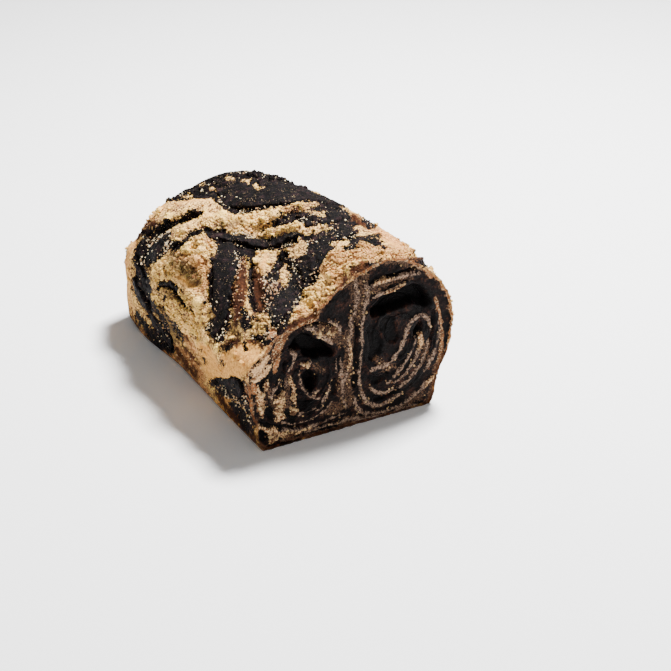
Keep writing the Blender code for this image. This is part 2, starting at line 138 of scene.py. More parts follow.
@dataclass(frozen=True)
class LoafForm:
    """The loaf's own form, with the sizes of the part's source, in metres."""

    length: float = 0.188
    base_width: float = 0.108
    axis_height: float = 0.045
    wall_slope: float = 0.10
    wall_bulge: float = 0.0015
    far_swell: float = 0.0055
    far_slope: float = 0.030
    swell_start: float = 0.005
    swell_length: float = 0.055
    shoulder_height: float = 0.058
    end_depth: float = 0.042
    end_run: float = 0.066
    shoulder_powers: tuple[float, float] = (5.0, 2.6)
    strand_powers: tuple[float, float] = (18.0, 8.0)
    base_power: float = 18
    base_drop: float = 0.002
    dome_end_power: float = 2.8
    block_end_powers: tuple[float, float] = (5.0, 3.4)
    # For each station its y, then x, z and radius of the left strand and of the right one
    strands: Rows = (
        (-0.094, -0.024, 0.037, 0.0340, 0.021, 0.050, 0.0445),
        (-0.060, -0.025, 0.043, 0.0350, 0.022, 0.052, 0.0460),
        (-0.020, -0.026, 0.049, 0.0360, 0.020, 0.053, 0.0450),
        (0.020, -0.026, 0.050, 0.0370, 0.014, 0.052, 0.0450),
        (0.060, -0.021, 0.044, 0.0400, 0.010, 0.0485, 0.0440),
        (0.094, -0.012, 0.040, 0.0420, 0.008, 0.046, 0.0420),
    )
    fold_depth: float = 0.0038
    fold_width: float = 0.0050
    # Lines of the folds between the strands, in degrees and mm
    folds: tuple[Rows, ...] = (
        ((52, -24), (30, -19), (14, -18), (2, -6), (-12, 4), (-26, 16), (-40, 30), (-54, 40),
         (-68, 50)),
        ((-30, -22), (-40, -38), (-49, -52), (-56, -64), (-64, -74)),
    )
    crust_reach: float = 0.052
    least_share: float = 1e-13
    least_cosine: float = 1e-3
    least_reach: float = 0.004
    fold_step: float = 0.004
    normal_step: float = 4e-4

    @property
    def cut_y(self) -> float:
        """Return where the cut face stands."""
        return -self.length / 2

    @property
    def end_start(self) -> float:
        """Return where the crust starts to bend round the far end."""
        return self.length / 2 - self.end_depth

    @property
    def last_run(self) -> float:
        """Return the run at the middle of the far end."""
        return self.end_start + self.end_run

    def flat(self, rows: Rows) -> Array:
        """Lay rows out on the flat crust.

        Args:
            rows: turn in degrees, run in mm and the half width in mm, if there.

        Returns:
            The same in metres.
        """
        table = np.array(rows, dtype=float)
        table[:, 0] = np.radians(table[:, 0]) * self.crust_reach
        table[:, 1:] *= 0.001
        return table

    def run_to_y(self, run: Array) -> Array:
        """Work out y for a run along the crust, which bends round the far end.

        Args:
            run: metres along the crust.

        Returns:
            y in metres.
        """
        over = np.clip((run - self.end_start) / self.end_run, 0, 1)
        bent = self.end_start + self.end_depth * np.sin(over * math.pi / 2)
        return np.where(run < self.end_start, run, bent)

    def strand_reach(self, sine: Array, cosine: Array, y: Array, side: int) -> Array:
        """Work out how far a strand's round outline lies from the axis.

        Args:
            sine: sine of the turn in which it is looked for.
            cosine: cosine of that turn.
            y: place along the loaf.
            side: 0 for the left strand, 1 for the right one.

        Returns:
            The distance in metres.
        """
        stations = [row[0] for row in self.strands]
        centre_x, centre_z, radius = (
            np.interp(y, stations, [row[side * 3 + part] for row in self.strands])
            for part in (1, 2, 3)
        )
        rise = centre_z - self.axis_height
        along = centre_x * sine + rise * cosine
        inside = radius ** 2 - (centre_x ** 2 + rise ** 2) + along ** 2
        return np.maximum(along + np.sqrt(np.maximum(inside, 0)), self.least_reach)

    def reach(self, turn: Array, run: Array) -> Array:
        """Return the distance from the axis to the bare crust.

        Args:
            turn: radians round the long axis, 0 straight up.
            run: metres along the crust.

        Returns:
            The distance in metres, one for each pair.
        """
        sine, cosine = np.sin(turn), np.cos(turn)
        y = self.run_to_y(run)
        over = np.clip((y - self.end_start) / self.end_depth, 0, 1)
        dome = np.maximum(1 - over ** self.dome_end_power, self.least_share) ** (1 / self.dome_end_power)
        power, root = self.block_end_powers
        block_end = np.maximum(1 - over ** power, self.least_share) ** (1 / root)
        share = np.clip((y - self.swell_start) / self.swell_length, 0, 1)
        swell = share * share * (3 - 2 * share)
        slope = self.wall_slope + (self.far_slope - self.wall_slope) * swell
        bulge = self.wall_bulge * (1 - (2 * y / self.length) ** 2)
        wall_x = self.base_width / 2 + self.far_swell * swell + slope * self.axis_height + bulge
        wall = wall_x / np.maximum(np.abs(sine) - slope * cosine, self.least_cosine)
        shoulder = (self.shoulder_height - self.axis_height) / np.maximum(cosine, self.least_cosine)
        shoulder_power, strand_power = (
            body + (end - body) * over for body, end in (self.shoulder_powers, self.strand_powers)
        )
        block = smooth_min([wall, shoulder], shoulder_power) * block_end
        strands = [self.strand_reach(sine, cosine, y, side) * dome for side in (0, 1)]
        reach = smooth_max([*strands, block], strand_power)
        for fold in self.folds:
            line = smooth_path(self.flat(fold), self.fold_step)
            gap, _ = distance_to_path(turn * self.crust_reach, run, line)
            reach = reach - self.fold_depth * np.exp(-(gap / self.fold_width) ** 2)
        base = (self.axis_height + self.base_drop) / np.maximum(-cosine, self.least_cosine)
        return smooth_min([reach, base], self.base_power)

    def point(self, turn: Array, run: Array) -> Array:
        """Work out points of the bare crust.

        Args:
            turn: radians round the long axis.
            run: metres along the crust.

        Returns:
            Rows of x, y and z.
        """
        reach = self.reach(turn, run)
        height = np.maximum(self.axis_height + reach * np.cos(turn), 0.0)
        return np.stack([reach * np.sin(turn), self.run_to_y(run) + 0 * reach, height], axis=-1)

    def normal(self, turn: Array, run: Array) -> Array:
        """Work out outward unit normals of the bare crust.

        Args:
            turn: radians round the long axis.
            run: metres along the crust.

        Returns:
            One unit vector for each pair.
        """
        step = self.normal_step
        aside = step / self.crust_reach
        around = self.point(turn + aside, run) - self.point(turn - aside, run)
        along = self.point(turn, run + step) - self.point(turn, run - step)
        normal = np.cross(along, around)
        flip = np.where(np.sum(normal * self.ray(turn), axis=-1) < 0, -1.0, 1.0)
        length = np.maximum(np.linalg.norm(normal, axis=-1), TINY)
        return normal * (flip / length)[..., None]

    @staticmethod
    def ray(turn: Array) -> Array:
        """Return unit rays that point from the axis through the crust."""
        return np.stack([np.sin(turn), 0 * turn, np.cos(turn)], axis=-1)


FORM = LoafForm()


# The camera, and the markings of the crust


@dataclass(frozen=True)
class PictureCamera:
    """The camera at the photograph's place and angle."""

    azimuth: float = -28.6
    elevation: float = 28.4
    place: tuple[float, float, float] = (-0.3420, -0.7063, 0.4362)
    focal: float = 1500.0
    size: float = 671.0
    sensor: float = 36.0

    def axes(self) -> tuple[Array, Array, Array]:
        """Work out which way the camera is turned.

        Returns:
            Its right, up and backward axes.
        """
        turn, rise = math.radians(self.azimuth), math.radians(self.elevation)
        back = np.array([math.sin(turn) * math.cos(rise), -math.cos(turn) * math.cos(rise),
                         math.sin(rise)])
        right = np.array([math.cos(turn), math.sin(turn), 0.0])
        return right, np.cross(back, right), back

    def pixels(self, points: Array) -> tuple[Array, Array]:
        """Find where points fall in the picture.

        Args:
            points: rows of x, y and z.

        Returns:
            Pixels from the left and from the top.
        """
        right, up, back = self.axes()
        offset = points - np.array(self.place)
        depth = -(offset @ back)
        half = self.size / 2
        return (half + self.focal * (offset @ right) / depth,
                half - self.focal * (offset @ up) / depth)

    def on_cut(self, x: float, y: float) -> tuple[float, float]:
        """Find the spot of the cut face that a pixel shows.

        Args:
            x: pixels from the left.
            y: pixels from the top.

        Returns:
            x and z of the spot in metres.
        """
        right, up, back = self.axes()
        half = self.size / 2
        ray = -back + right * (x - half) / self.focal - up * (y - half) / self.focal
        place = np.array(self.place)
        spot = place + ray * (FORM.cut_y - place[1]) / ray[1]
        return float(spot[0]), float(spot[2])

    def build(self) -> None:
        """Make the camera and set it as the scene's own."""
        right, up, back = self.axes()
        data = bpy.data.cameras.new("camera")
        data.sensor_width = self.sensor
        data.lens = self.focal * self.sensor / self.size
        camera = bpy.data.objects.new("camera", data)
        frame_axes = Matrix((right, up, back)).transposed().to_4x4()
        camera.matrix_world = Matrix.Translation(self.place) @ frame_axes
        bpy.context.scene.collection.objects.link(camera)
        bpy.context.scene.camera = camera


CAMERA = PictureCamera()


class Tone(Enum):
    """What a marking does to the crust."""

    DARK = "dark"
    PALE = "pale"
    BROWN = "brown"
    PINK = "pink"
    # A dull grey-brown tone that is partly painted shade in hollows and low on the walls
    DULL_SHADE = "dull_shade"
    SMOOTH = "smooth"
    CRUMBLY = "crumbly"
    SUGARED = "sugared"
    RIDGE = "ridge"
    GROOVE = "groove"


# Strips of marking on the side that the picture shows: pixel x, pixel y, half width
SEEN: dict[Tone, tuple[Rows, ...]] = {
    Tone.DARK: (
        ((166, 200, 1.5), (180, 195, 5), (196, 192, 7), (215, 187, 12), (224, 190, 15), (235, 193, 21),
         (255, 191, 20), (275, 191, 17), (295, 194, 10.5), (307, 196, 6), (319, 199, 2)),
        ((200, 186, 9), (220, 178, 10), (240, 175, 12), (268, 177, 13), (290, 186, 10), (305, 193, 6)),
        ((326, 206, 3), (332, 211, 6), (338, 219, 8), (344, 227, 8), (350, 236, 7), (355, 243, 5.5),
         (346, 249, 2)),
        ((358, 238, 3), (366, 240, 3.5), (374, 241, 4), (381, 246, 3), (384, 249, 1)),
        ((366, 238, 2), (372, 236.5, 2), (379, 235, 1.5)),
        ((364, 221, 1), (369, 222.5, 2.5), (374, 227, 1)),
        ((262, 230, 1), (272, 226, 1.8), (282, 221.5, 3.5), (292, 220, 3), (302, 219, 4), (312, 218, 4.5),
         (322, 220, 4), (330, 223, 4)),
        ((318, 206, 1.5), (325, 209, 2), (332, 216, 2)),
        ((203, 229, 1.5), (212, 231, 2), (222, 233, 2.5), (232, 238, 5), (243, 241, 8), (255, 245, 6),
         (268, 245, 5), (280, 243, 5.5), (291, 240, 6), (300, 236.5, 3), (310, 241, 4), (320, 241, 7),
         (332, 238, 7), (344, 232, 6)),
        ((186, 241, 3), (191, 236, 4), (199, 232, 3)),
        ((144, 233, 2), (155, 229, 2.5), (165, 226, 3.5), (175, 223, 3.5), (184, 219, 3), (192, 215, 3.5),
         (201, 214, 3)),
        ((162, 232, 5), (158, 240, 11), (155, 248, 12), (150, 255, 9), (143, 259, 6)),
        ((147, 237, 4), (145, 244, 6), (142, 251, 6.5), (140, 258, 6)),
        ((165, 237, 6), (172, 245, 5.5), (180, 246, 4.5), (186, 244, 2.5)),
        ((137, 258, 4.5), (137, 266, 4), (140, 275, 7), (142, 285, 8.5), (144, 294, 8), (146, 303, 6),
         (151, 309, 3)),
        ((150, 313, 2), (156, 326, 4), (160, 335, 5), (166, 343, 5.5), (171, 351, 3)),
        ((137, 312, 1.5), (141, 321, 2.5), (147, 330, 3), (154, 340, 4), (162, 347, 3)),
        ((158, 288, 1.5), (163, 284, 2), (170, 285, 2.8), (174, 289, 2.4), (178, 297, 1.2), (183, 303, 1.4),
         (187, 309, 0.6)),
        ((221, 242, 5), (227, 250, 12.5), (226, 260, 14.5), (224, 270, 13.5), (218, 280, 11), (218, 290, 11),
         (219, 300, 11), (221.5, 310, 8), (223, 320, 6.5), (218, 330, 12), (219, 337, 6)),
        ((252, 252, 2), (252, 262, 2.5), (251, 270, 2), (251, 283, 2.2), (252, 298, 2.8), (255, 309, 2)),
        ((276, 274, 4), (275, 287, 7), (271, 299, 7)),
        ((243, 311, 3), (247, 319, 4), (245, 327, 3)),
        ((328, 243, 8), (316, 252, 11), (304, 264, 17), (303, 275, 15), (296, 287, 9), (291, 297, 9),
         (288, 307, 9), (282, 315, 6)),
        ((284, 254, 4.5), (280, 262, 4.5), (274, 271, 4), (266, 279, 4)), ((286, 258, 4), (291, 266, 4)),
        ((266, 290, 3), (273, 298, 5), (280, 308, 9), (277, 318, 7), (272, 330, 5), (267, 337, 4)),
        ((251, 336, 2), (258, 337, 3), (265, 339, 4), (273, 334, 4)),
        ((243, 323, 4), (251, 324, 3)),
        ((224, 350, 1.5), (231, 346, 2)),
        ((213, 382, 3), (224, 387, 8), (236, 390, 11), (247, 397, 10), (251, 407, 7), (252, 422, 5)),
        ((232, 404, 3), (240, 412, 5), (250, 430, 4)),
        ((395, 267, 1.5), (410, 264, 2.5), (424, 264, 2.5), (438, 264.5, 2)),
        ((414, 253, 1), (424, 258, 1.5), (434, 262, 1.2)),
        ((372, 266, 2), (380, 267, 2.5), (386, 269, 2)),
        ((205, 231, 2), (215, 235, 4.5), (228, 240, 6.5), (240, 247, 7), (250, 252, 5)),
        ((266, 341, 4), (275, 333, 6), (281, 322, 8), (284, 312, 8)),
        ((266, 300, 4), (270, 312, 5), (272, 324, 5)),
        ((146, 326, 2), (156, 338, 2), (164, 346, 2)),
        ((174, 322, 1.4), (179, 332, 1.5), (182, 341, 1.2)),
        ((245, 344, 1.3), (246, 349, 1.3)), ((222, 361, 0.6), (223, 365, 0.6)),
        ((199, 348, 0.8), (201, 350, 0.8)),
        ((195, 334, 1), (197, 337, 0.8)), ((203, 357, 1), (205, 363, 1)), ((193, 308, 0.8), (196, 311, 0.8)),
        ((345, 222, 6), (350, 233, 7)),
        ((160, 289, 1.5), (164, 294, 1.2), (167, 300, 1)),
        ((318, 199, 3), (328, 204, 5), (338, 211, 5.5), (345, 218, 5)),
        ((230, 203, 4), (240, 207, 5.5), (252, 205, 5), (262, 203, 3)),
        ((303, 216, 3), (314, 211, 4), (322, 206, 4)), ((304, 238, 3), (320, 237, 5), (336, 233, 5)),
        ((153, 302, 2), (160, 315, 3), (167, 329, 3)), ((162, 305, 0.8), (168, 316, 1.4), (174, 328, 1)),
        ((254, 317, 0.4), (263, 324, 0.6)), ((257, 312, 0.3), (268, 319, 0.6)),
        ((286, 216, 2), (300, 215, 3), (315, 214, 3), (330, 222, 5)),
    ),
    Tone.PALE: (
        ((211, 188, 1.2), (215, 192, 2), (219, 197, 1.8)),
        ((243, 181, 2), (248, 182, 2.6)),
        ((253, 184.5, 2), (258, 187, 3.2), (263, 188, 2.4)),
        ((226, 177.3, 0.8), (233, 178, 0.9)),
        ((200, 184, 1.2), (202, 183, 1.4)),
        ((184, 199, 1.5), (190, 197, 2), (193, 199, 1.5)),
        ((307, 211, 0.8), (318, 213.5, 1.2), (326, 217, 1.5), (331, 221, 1)),
        ((311, 222, 1), (315, 226, 2), (320, 223, 1.2)),
        ((303, 224, 1), (304, 225, 1.4)),
        ((299, 240, 2), (303, 246, 4.5), (298, 253, 4.5), (290, 255, 2.5)),
        ((308, 229, 2), (316, 230, 2.5), (325, 226.5, 2.5)),
        ((173, 236, 3.5), (178, 231, 4), (188, 227, 3.5)),
        ((333, 244, 3), (338, 243, 5), (345, 242, 4)),
        ((356, 228, 3), (356, 231, 2)),
        ((163, 290, 3), (168, 292, 3), (172, 297, 3)),
        ((283, 270, 2), (285, 276, 2), (280, 282, 1.6)),
        ((253, 331, 3), (258, 325, 5), (264, 318, 5), (268, 324, 3)),
    ),
    Tone.BROWN: (
        ((352, 272, 3), (365, 270, 4), (378, 269, 4), (386, 269, 3)),
        ((388, 264, 1.5), (398, 266, 2.5)),
        ((410, 262, 3), (425, 261, 4), (438, 264, 2)),
        ((281, 345, 3.5), (285, 335, 4), (292, 328, 4.5), (305, 323, 4), (320, 318, 5), (334, 305, 4)),
        ((346, 280, 3), (345, 287, 5), (338, 296, 4)),
        ((270, 352, 3), (274, 362, 3), (278, 350, 3)),
        ((256, 385, 4), (260, 395, 5), (258, 406, 5)),
        ((176, 350, 0.6), (185, 360, 1), (196, 371, 1)), ((182, 346, 0.4), (190, 354, 0.8), (199, 364, 0.6)),
        ((180, 358, 0.8), (188, 367, 1.2), (196, 376, 1)), ((184, 334, 0), (188, 341, 0)),
        ((218, 394, 2), (224, 404, 3), (234, 416, 3.5), (245, 428, 3.5), (257, 441, 3)),
        ((146, 226, 2), (153, 224, 3.5), (158, 226, 2)),
        ((138, 236, 2), (146, 230, 2)),
        ((243, 258, 2), (241, 275, 6), (240, 290, 6.5), (238, 303, 6), (237, 315, 3), (236, 326, 1)),
        ((233, 273, 4), (233, 290, 6), (234, 302, 6)),
        ((256, 271, 4), (258, 284, 8), (259, 297, 9), (258, 307, 7)),
        ((268, 284, 4), (272, 292, 6), (268, 302, 5), (280, 284, 3)),
        ((148, 345, 3), (160, 358, 3), (172, 368, 2)),
        ((226, 348, 3), (236, 342, 3)), ((250, 340, 2), (262, 346, 2)),
        ((343, 214, 1.5), (352, 219, 2), (363, 225, 2)),
        ((125, 300, 2), (131, 318, 3), (137, 328, 3)),
        ((271, 283, 3), (275, 290, 4), (272, 298, 3)),
    ),
    Tone.PINK: (
        ((335, 262, 8), (350, 258, 10), (372, 254, 10), (395, 254, 9), (415, 256, 6)),
        ((325, 268, 6), (338, 280, 8), (344, 292, 7)),
        ((199, 237, 3), (206, 239, 3), (212, 246, 3)),
        ((182, 258, 5), (192, 262, 7), (202, 266, 8), (206, 278, 5), (200, 290, 4)),
        ((285, 213, 3), (298, 214, 3), (306, 209, 2)),
        ((137, 326, 3), (150, 338, 4), (165, 352, 5), (185, 372, 6), (205, 392, 6)),
        ((140, 232, 2), (129, 250, 1.5), (125, 270, 1.5), (127, 300, 1.5)), ((146, 222, 5), (156, 219, 3)),
        ((176, 350, 6), (185, 358, 9), (195, 367, 7), (202, 380, 5)),
        ((183, 335, 4), (188, 343, 4), (194, 350, 4)),
        ((224, 398, 3), (234, 412, 4), (246, 430, 4)),
        ((300, 318, 5), (318, 311, 6), (330, 300, 5)),
        ((350, 216, 3), (372, 228, 4), (395, 240, 4), (410, 248, 3)),
        ((268, 345, 5), (272, 358, 6), (264, 375, 5)),
    ),
    Tone.DULL_SHADE: (
        ((172, 258, 5), (182, 264, 8), (190, 272, 9), (196, 281, 7)), ((166, 292, 3), (180, 300, 3)),
        ((156, 306, 6), (163, 316, 9), (170, 328, 7), (176, 340, 4)),
        ((140, 262, 3), (150, 270, 3)),
        ((147, 340, 5), (160, 356, 6), (176, 370, 6), (192, 384, 5)),
        ((232, 395, 5), (242, 405, 6)),
        ((232, 330, 4), (240, 338, 4), (232, 345, 4)), ((236, 308, 6), (238, 322, 8), (246, 332, 4)),
        ((252, 326, 4), (260, 320, 5), (266, 328, 4)),
        ((245, 226, 3), (232, 228, 3), (218, 227, 3)),
    ),
    Tone.SMOOTH: (
        ((170, 208, 1), (185, 204, 2), (200, 202, 2), (212, 204, 1)),
        ((263, 253, 0), (266, 260, 3), (262, 270, 3), (258, 277, 1)),
        ((243, 280, 4), (244, 295, 4), (240, 312, 5)),
        ((228, 357, 8), (242, 352, 11), (255, 350, 8), (240, 368, 9), (225, 370, 9)),
        ((205, 350, 8), (210, 365, 9), (215, 380, 7)),
        ((134, 240, 2), (127, 252, 4), (124, 275, 6), (126, 300, 6), (132, 322, 5)),
        ((146, 216, 6), (152, 209, 6), (162, 204, 5)),
        ((380, 232, 6), (400, 246, 5)),
        ((182, 278, 4), (190, 284, 5), (196, 288, 3)),
        ((226, 250, 9), (225, 262, 11), (222, 275, 9), (219, 295, 7)),
        ((222, 400, 7), (236, 416, 8), (250, 434, 7)),
        ((256, 282, 4), (257, 300, 5)),
    ),
    Tone.CRUMBLY: (
        ((205, 221, 7), (225, 222, 8), (240, 222, 8), (260, 219, 9), (280, 213, 7), (300, 207, 4)),
        ((262, 236, 3), (280, 231, 3), (297, 227, 4)),
        ((196, 243, 7), (204, 240, 8), (205, 252, 9), (190, 258, 10), (198, 272, 9)),
        ((165, 265, 9), (163, 275, 9), (178, 268, 10)),
        ((160, 300, 8), (175, 310, 10), (190, 300, 9), (200, 305, 8), (192, 325, 10)),
        ((205, 320, 6), (212, 345, 7), (225, 343, 5)),
        ((300, 290, 8), (315, 300, 11), (325, 290, 10), (335, 300, 8), (300, 313, 7), (290, 318, 5)),
        ((330, 265, 8), (340, 260, 10), (360, 258, 10), (385, 256, 8), (405, 254, 6)),
        ((335, 278, 6), (345, 270, 6)),
        ((275, 355, 6), (270, 368, 8), (262, 380, 6)),
        ((250, 255, 3), (246, 262, 4)),
        ((235, 280, 5), (236, 295, 5)),
        ((260, 322, 7), (266, 328, 5)),
    ),
    Tone.SUGARED: (
        ((168, 236, 5), (159, 246, 10), (153, 255, 7), (144, 261, 4)),
        ((306, 250, 9), (304, 264, 13), (300, 280, 13), (294, 294, 11), (284, 305, 9)),
        ((268, 280, 6), (272, 292, 9), (276, 305, 9), (278, 318, 7), (268, 330, 6)),
        ((252, 318, 5), (262, 325, 6)),
        ((238, 256, 3), (240, 275, 5), (240, 300, 6), (236, 318, 4)),
        ((212, 312, 5), (216, 328, 8), (222, 336, 6)),
        ((160, 326, 5), (164, 340, 8)), ((222, 386, 5), (240, 404, 7), (250, 420, 5)),
        ((225, 200, 5), (242, 204, 7), (262, 203, 5)),
        ((236, 236, 4), (250, 240, 5), (264, 242, 5), (285, 241, 4)),
        ((300, 222, 4), (318, 222, 5)),
        ((320, 246, 6), (338, 232, 5), (350, 240, 4)),
        ((355, 285, 6), (340, 300, 5)),
    ),
    Tone.RIDGE: (
        ((170, 210, 2), (182, 206.5, 5), (200, 204, 5.5), (218, 205.5, 5), (226, 211, 4)),
        ((205, 221, 4), (225, 222, 5), (240, 222, 5), (262, 219, 6), (282, 213, 5), (302, 207, 2.5)),
        ((262, 236, 2), (282, 231, 2.5), (300, 227, 2.5)),
        ((126, 286, 2), (128, 300, 4), (131, 318, 4)),
        ((343, 212, 2), (356, 219, 3), (368, 226, 2)),
        ((348, 268, 3), (370, 265, 4), (390, 263, 3), (420, 261, 3)),
        ((176, 229, 3), (188, 227, 3)),
        ((192, 240, 4), (205, 244, 4), (203, 256, 5), (190, 262, 5), (170, 266, 5), (160, 272, 4)),
        ((160, 274, 3), (176, 280, 4), (190, 290, 4), (200, 302, 4), (203, 316, 4)),
        ((227, 251, 8), (226, 262, 10), (222, 275, 8), (219, 295, 6), (221, 315, 3)),
        ((266, 258, 5), (262, 268, 5)),
        ((275, 346, 3), (283, 330, 3), (296, 322, 3), (318, 314, 4), (336, 298, 4)),
    ),
    Tone.GROOVE: (
        ((156, 230, 1), (172, 225, 2), (188, 219, 2), (201, 214, 1.6)),
        ((226, 202, 2), (240, 208, 2), (252, 206, 2), (264, 204, 1.5)),
        ((262, 229, 1), (278, 223, 1.5), (296, 220, 1.5), (316, 218, 1.5)),
        ((205, 230, 1), (220, 233, 1.5), (234, 240, 2.5), (250, 244, 3), (275, 244, 2.5), (294, 240, 2.5)),
        ((252, 250, 1), (251, 268, 1.5), (250, 284, 2), (250, 298, 2.2), (254, 310, 1.5)),
        ((159, 286, 1.5), (170, 286, 2), (177, 295, 1.5), (187, 308, 1.2)),
        ((137, 256, 2), (138, 272, 3), (144, 292, 3), (148, 308, 2)),
        ((133, 238, 5), (127, 246, 6), (123, 254, 4)), ((404, 245, 2), (412, 249, 3), (418, 254, 3)),
        ((236, 262, 1), (233, 280, 1.2), (231, 300, 1.2), (231, 322, 1)),
        ((284, 255, 2), (276, 266, 2), (266, 279, 2)),
        ((205, 262, 1), (206, 280, 1), (207, 300, 1), (210, 322, 1)),
        ((250, 334, 1.5), (262, 339, 2), (274, 330, 1.5)),
        ((216, 384, 1.5), (230, 384, 2), (244, 390, 2)),
    ),
}

# The same on the crust laid flat, for the sides that it hides: degrees, mm, half width in mm
HIDDEN: dict[Tone, tuple[Rows, ...]] = {
    Tone.DARK: (
        ((62, 44, 3), (78, 30, 6), (92, 14, 8), (106, -2, 6), (118, -14, 3)),
        ((60, -50, 3), (78, -61, 6), (92, -70, 8), (106, -80, 5)),
        ((96, 56, 3), (110, 44, 4), (122, 26, 3)),
        ((-50, 92, 4), (-14, 84, 8), (14, 79, 9), (42, 75, 8), (66, 68, 6), (90, 56, 3)),
    ),
    Tone.RIDGE: (
        ((56, -34, 5), (72, -20, 6), (84, 2, 6), (76, 22, 6), (58, 36, 6)),
        ((-40, 72, 5), (-10, 70, 6), (20, 66, 6), (48, 60, 5)),
        ((86, -52, 5), (98, -40, 5), (110, -30, 4)),
    ),
    Tone.GROOVE: (
        ((50, -4, 2), (66, -12, 2), (86, -24, 2.5), (104, -38, 2)),
        ((70, 48, 2), (88, 38, 2.5), (106, 24, 2)),
        ((-74, 84, 3), (-82, 86, 6), (-88, 82, 5)), ((-76, 94, 4), (-84, 96, 6)),
    ),
}

# The chocolate strips of the part's source: degrees, mm, half width in mm
SWIRLS: dict[str, Rows] = {
    "swirl_top": ((-40, 60, 3), (-26, 50, 8), (-8, 36, 14), (8, 22, 17), (24, 8, 16),
                  (40, -2, 10), (56, -6, 5)),
    "swirl_middle": ((-49, 10, 2), (-38, -3, 3.5), (-26, -15, 4), (-12, -27, 4.5), (2, -33, 5),
                     (16, -35, 6), (30, -31, 7), (44, -25, 7), (58, -26, 5)),
    "swirl_tongue": ((-38, -10, 5), (-47, -24, 7), (-56, -36, 7), (-66, -45, 6.5),
                     (-76, -51, 6.5), (-83, -54, 4)),
    "swirl_cut_side": ((42, -43, 6), (24, -51, 7), (8, -57, 8), (-8, -61, 8.5), (-24, -66, 8.5),
                       (-38, -71, 7.5), (-50, -78, 6), (-60, -85, 3.5)),
    "swirl_left_patch": ((-42, 34, 1.5), (-52, 34, 3), (-62, 32, 6), (-71, 34, 8), (-80, 41, 7)),
    "swirl_left_wall": ((-92, 56, 4), (-100, 52, 5), (-108, 43, 5), (-114, 30, 5), (-119, 14, 4)),
    "swirl_left_thin": ((-82, 20, 2), (-77, 9, 3), (-75, -4, 3), (-75, -17, 2)),
    "swirl_cut_corner": ((-107, -50, 4), (-103, -62, 6), (-100, -75, 7), (-98, -88, 5)),
    "swirl_right_high": ((72, 34, 4), (82, 22, 7), (93, 9, 7), (104, -4, 5)),
    "swirl_right_low": ((66, -52, 4), (79, -61, 6), (92, -69, 7), (104, -78, 5)),
    "swirl_far_end": ((-40, 88, 4), (-14, 82, 7), (14, 78, 8), (40, 74, 7), (64, 68, 5), (84, 58, 3)),
}

# The strips of crust on which the part's source scatters its crumbs
CRUMB_FIELDS: tuple[Rows, ...] = (
    ((-62, 47, 4), (-47, 42, 5), (-34, 27, 6), (-20, 10, 7), (-4, -8, 7), (12, -21, 5), (28, -20, 4)),
    ((-55, 18, 7), (-60, 3, 9), (-62, -14, 9)),
    ((-66, -26, 6), (-80, -34, 9), (-88, -46, 10), (-90, -62, 10), (-84, -77, 8), (-74, -84, 6)),
    ((-27, -29, 5), (-36, -43, 5)),
    ((-18, -82, 5), (-4, -79, 7), (12, -76, 8), (28, -74, 7), (44, -70, 7), (58, -60, 6)),
    ((62, -40, 6), (72, -20, 7), (70, 4, 8), (58, 24, 8), (40, 36, 9), (20, 48, 8)),
    ((-56, 66, 6), (-34, 72, 6), (-8, 66, 7), (20, 62, 7), (48, 58, 7), (72, 54, 6)),
)


def fractal(points: Array, scale: float, octaves: int = 3, seed: float = 0.0) -> Array:
    """Return smooth noise between about -1 and 1 at some points.

    Args:
        points: rows of x, y and z in metres.
        scale: size of the largest lumps in metres.
        octaves: number of finer layers.
        seed: an offset that gives another pattern.

    Returns:
        One value for each point.
    """
    spots = points.reshape(-1, 3) / scale + seed
    values = [noise.fractal(Vector(spot), 1.0, 2.0, octaves) for spot in spots]
    return np.array(values).reshape(points.shape[:-1])


def rise(value: Array, low: float, high: float) -> Array:
    """Return 0 under the low value, 1 over the high one and a soft step between."""
    share = np.clip((value - low) / (high - low), 0, 1)
    return share * share * (3 - 2 * share)


def strongest(across: Array, along: Array, strips: tuple[Rows, ...], step: float, far: float,
              flat: bool = False) -> Array:
    """Measure how deep spots lie inside the nearest of some strips.

    Args:
        across: first value of each spot.
        along: second value of each spot.
        strips: the strips, each a path with half widths.
        step: spacing of the points on a strip's smooth path.
        far: distance past which a spot no longer counts as near a strip.
        flat: whether the strips are in degrees and mm on the crust laid flat.

    Returns:
        The depth in the spots' own unit, negative outside.
    """
    best = np.full(across.shape, -far)
    for rows in strips:
        table = FORM.flat(rows) if flat else np.array(rows, dtype=float)
        path = smooth_path(table, step)
        reach = far + path[:, 2].max()
        low, high = path[:, :2].min(axis=0) - reach, path[:, :2].max(axis=0) + reach
        near = (across > low[0]) & (across < high[0]) & (along > low[1]) & (along < high[1])
        if near.any():
            gap, half = distance_to_path(across[near], along[near], path)
            best[near] = np.maximum(best[near], half - gap)
    return best


@dataclass(frozen=True)
class Bumps:
    """One layer of unevenness."""

    size: float
    height: float
    octaves: int
    seed: float

    def read(self, points: Array) -> Array:
        """Return its height at some points."""
        return fractal(points, self.size, self.octaves, self.seed) * self.height


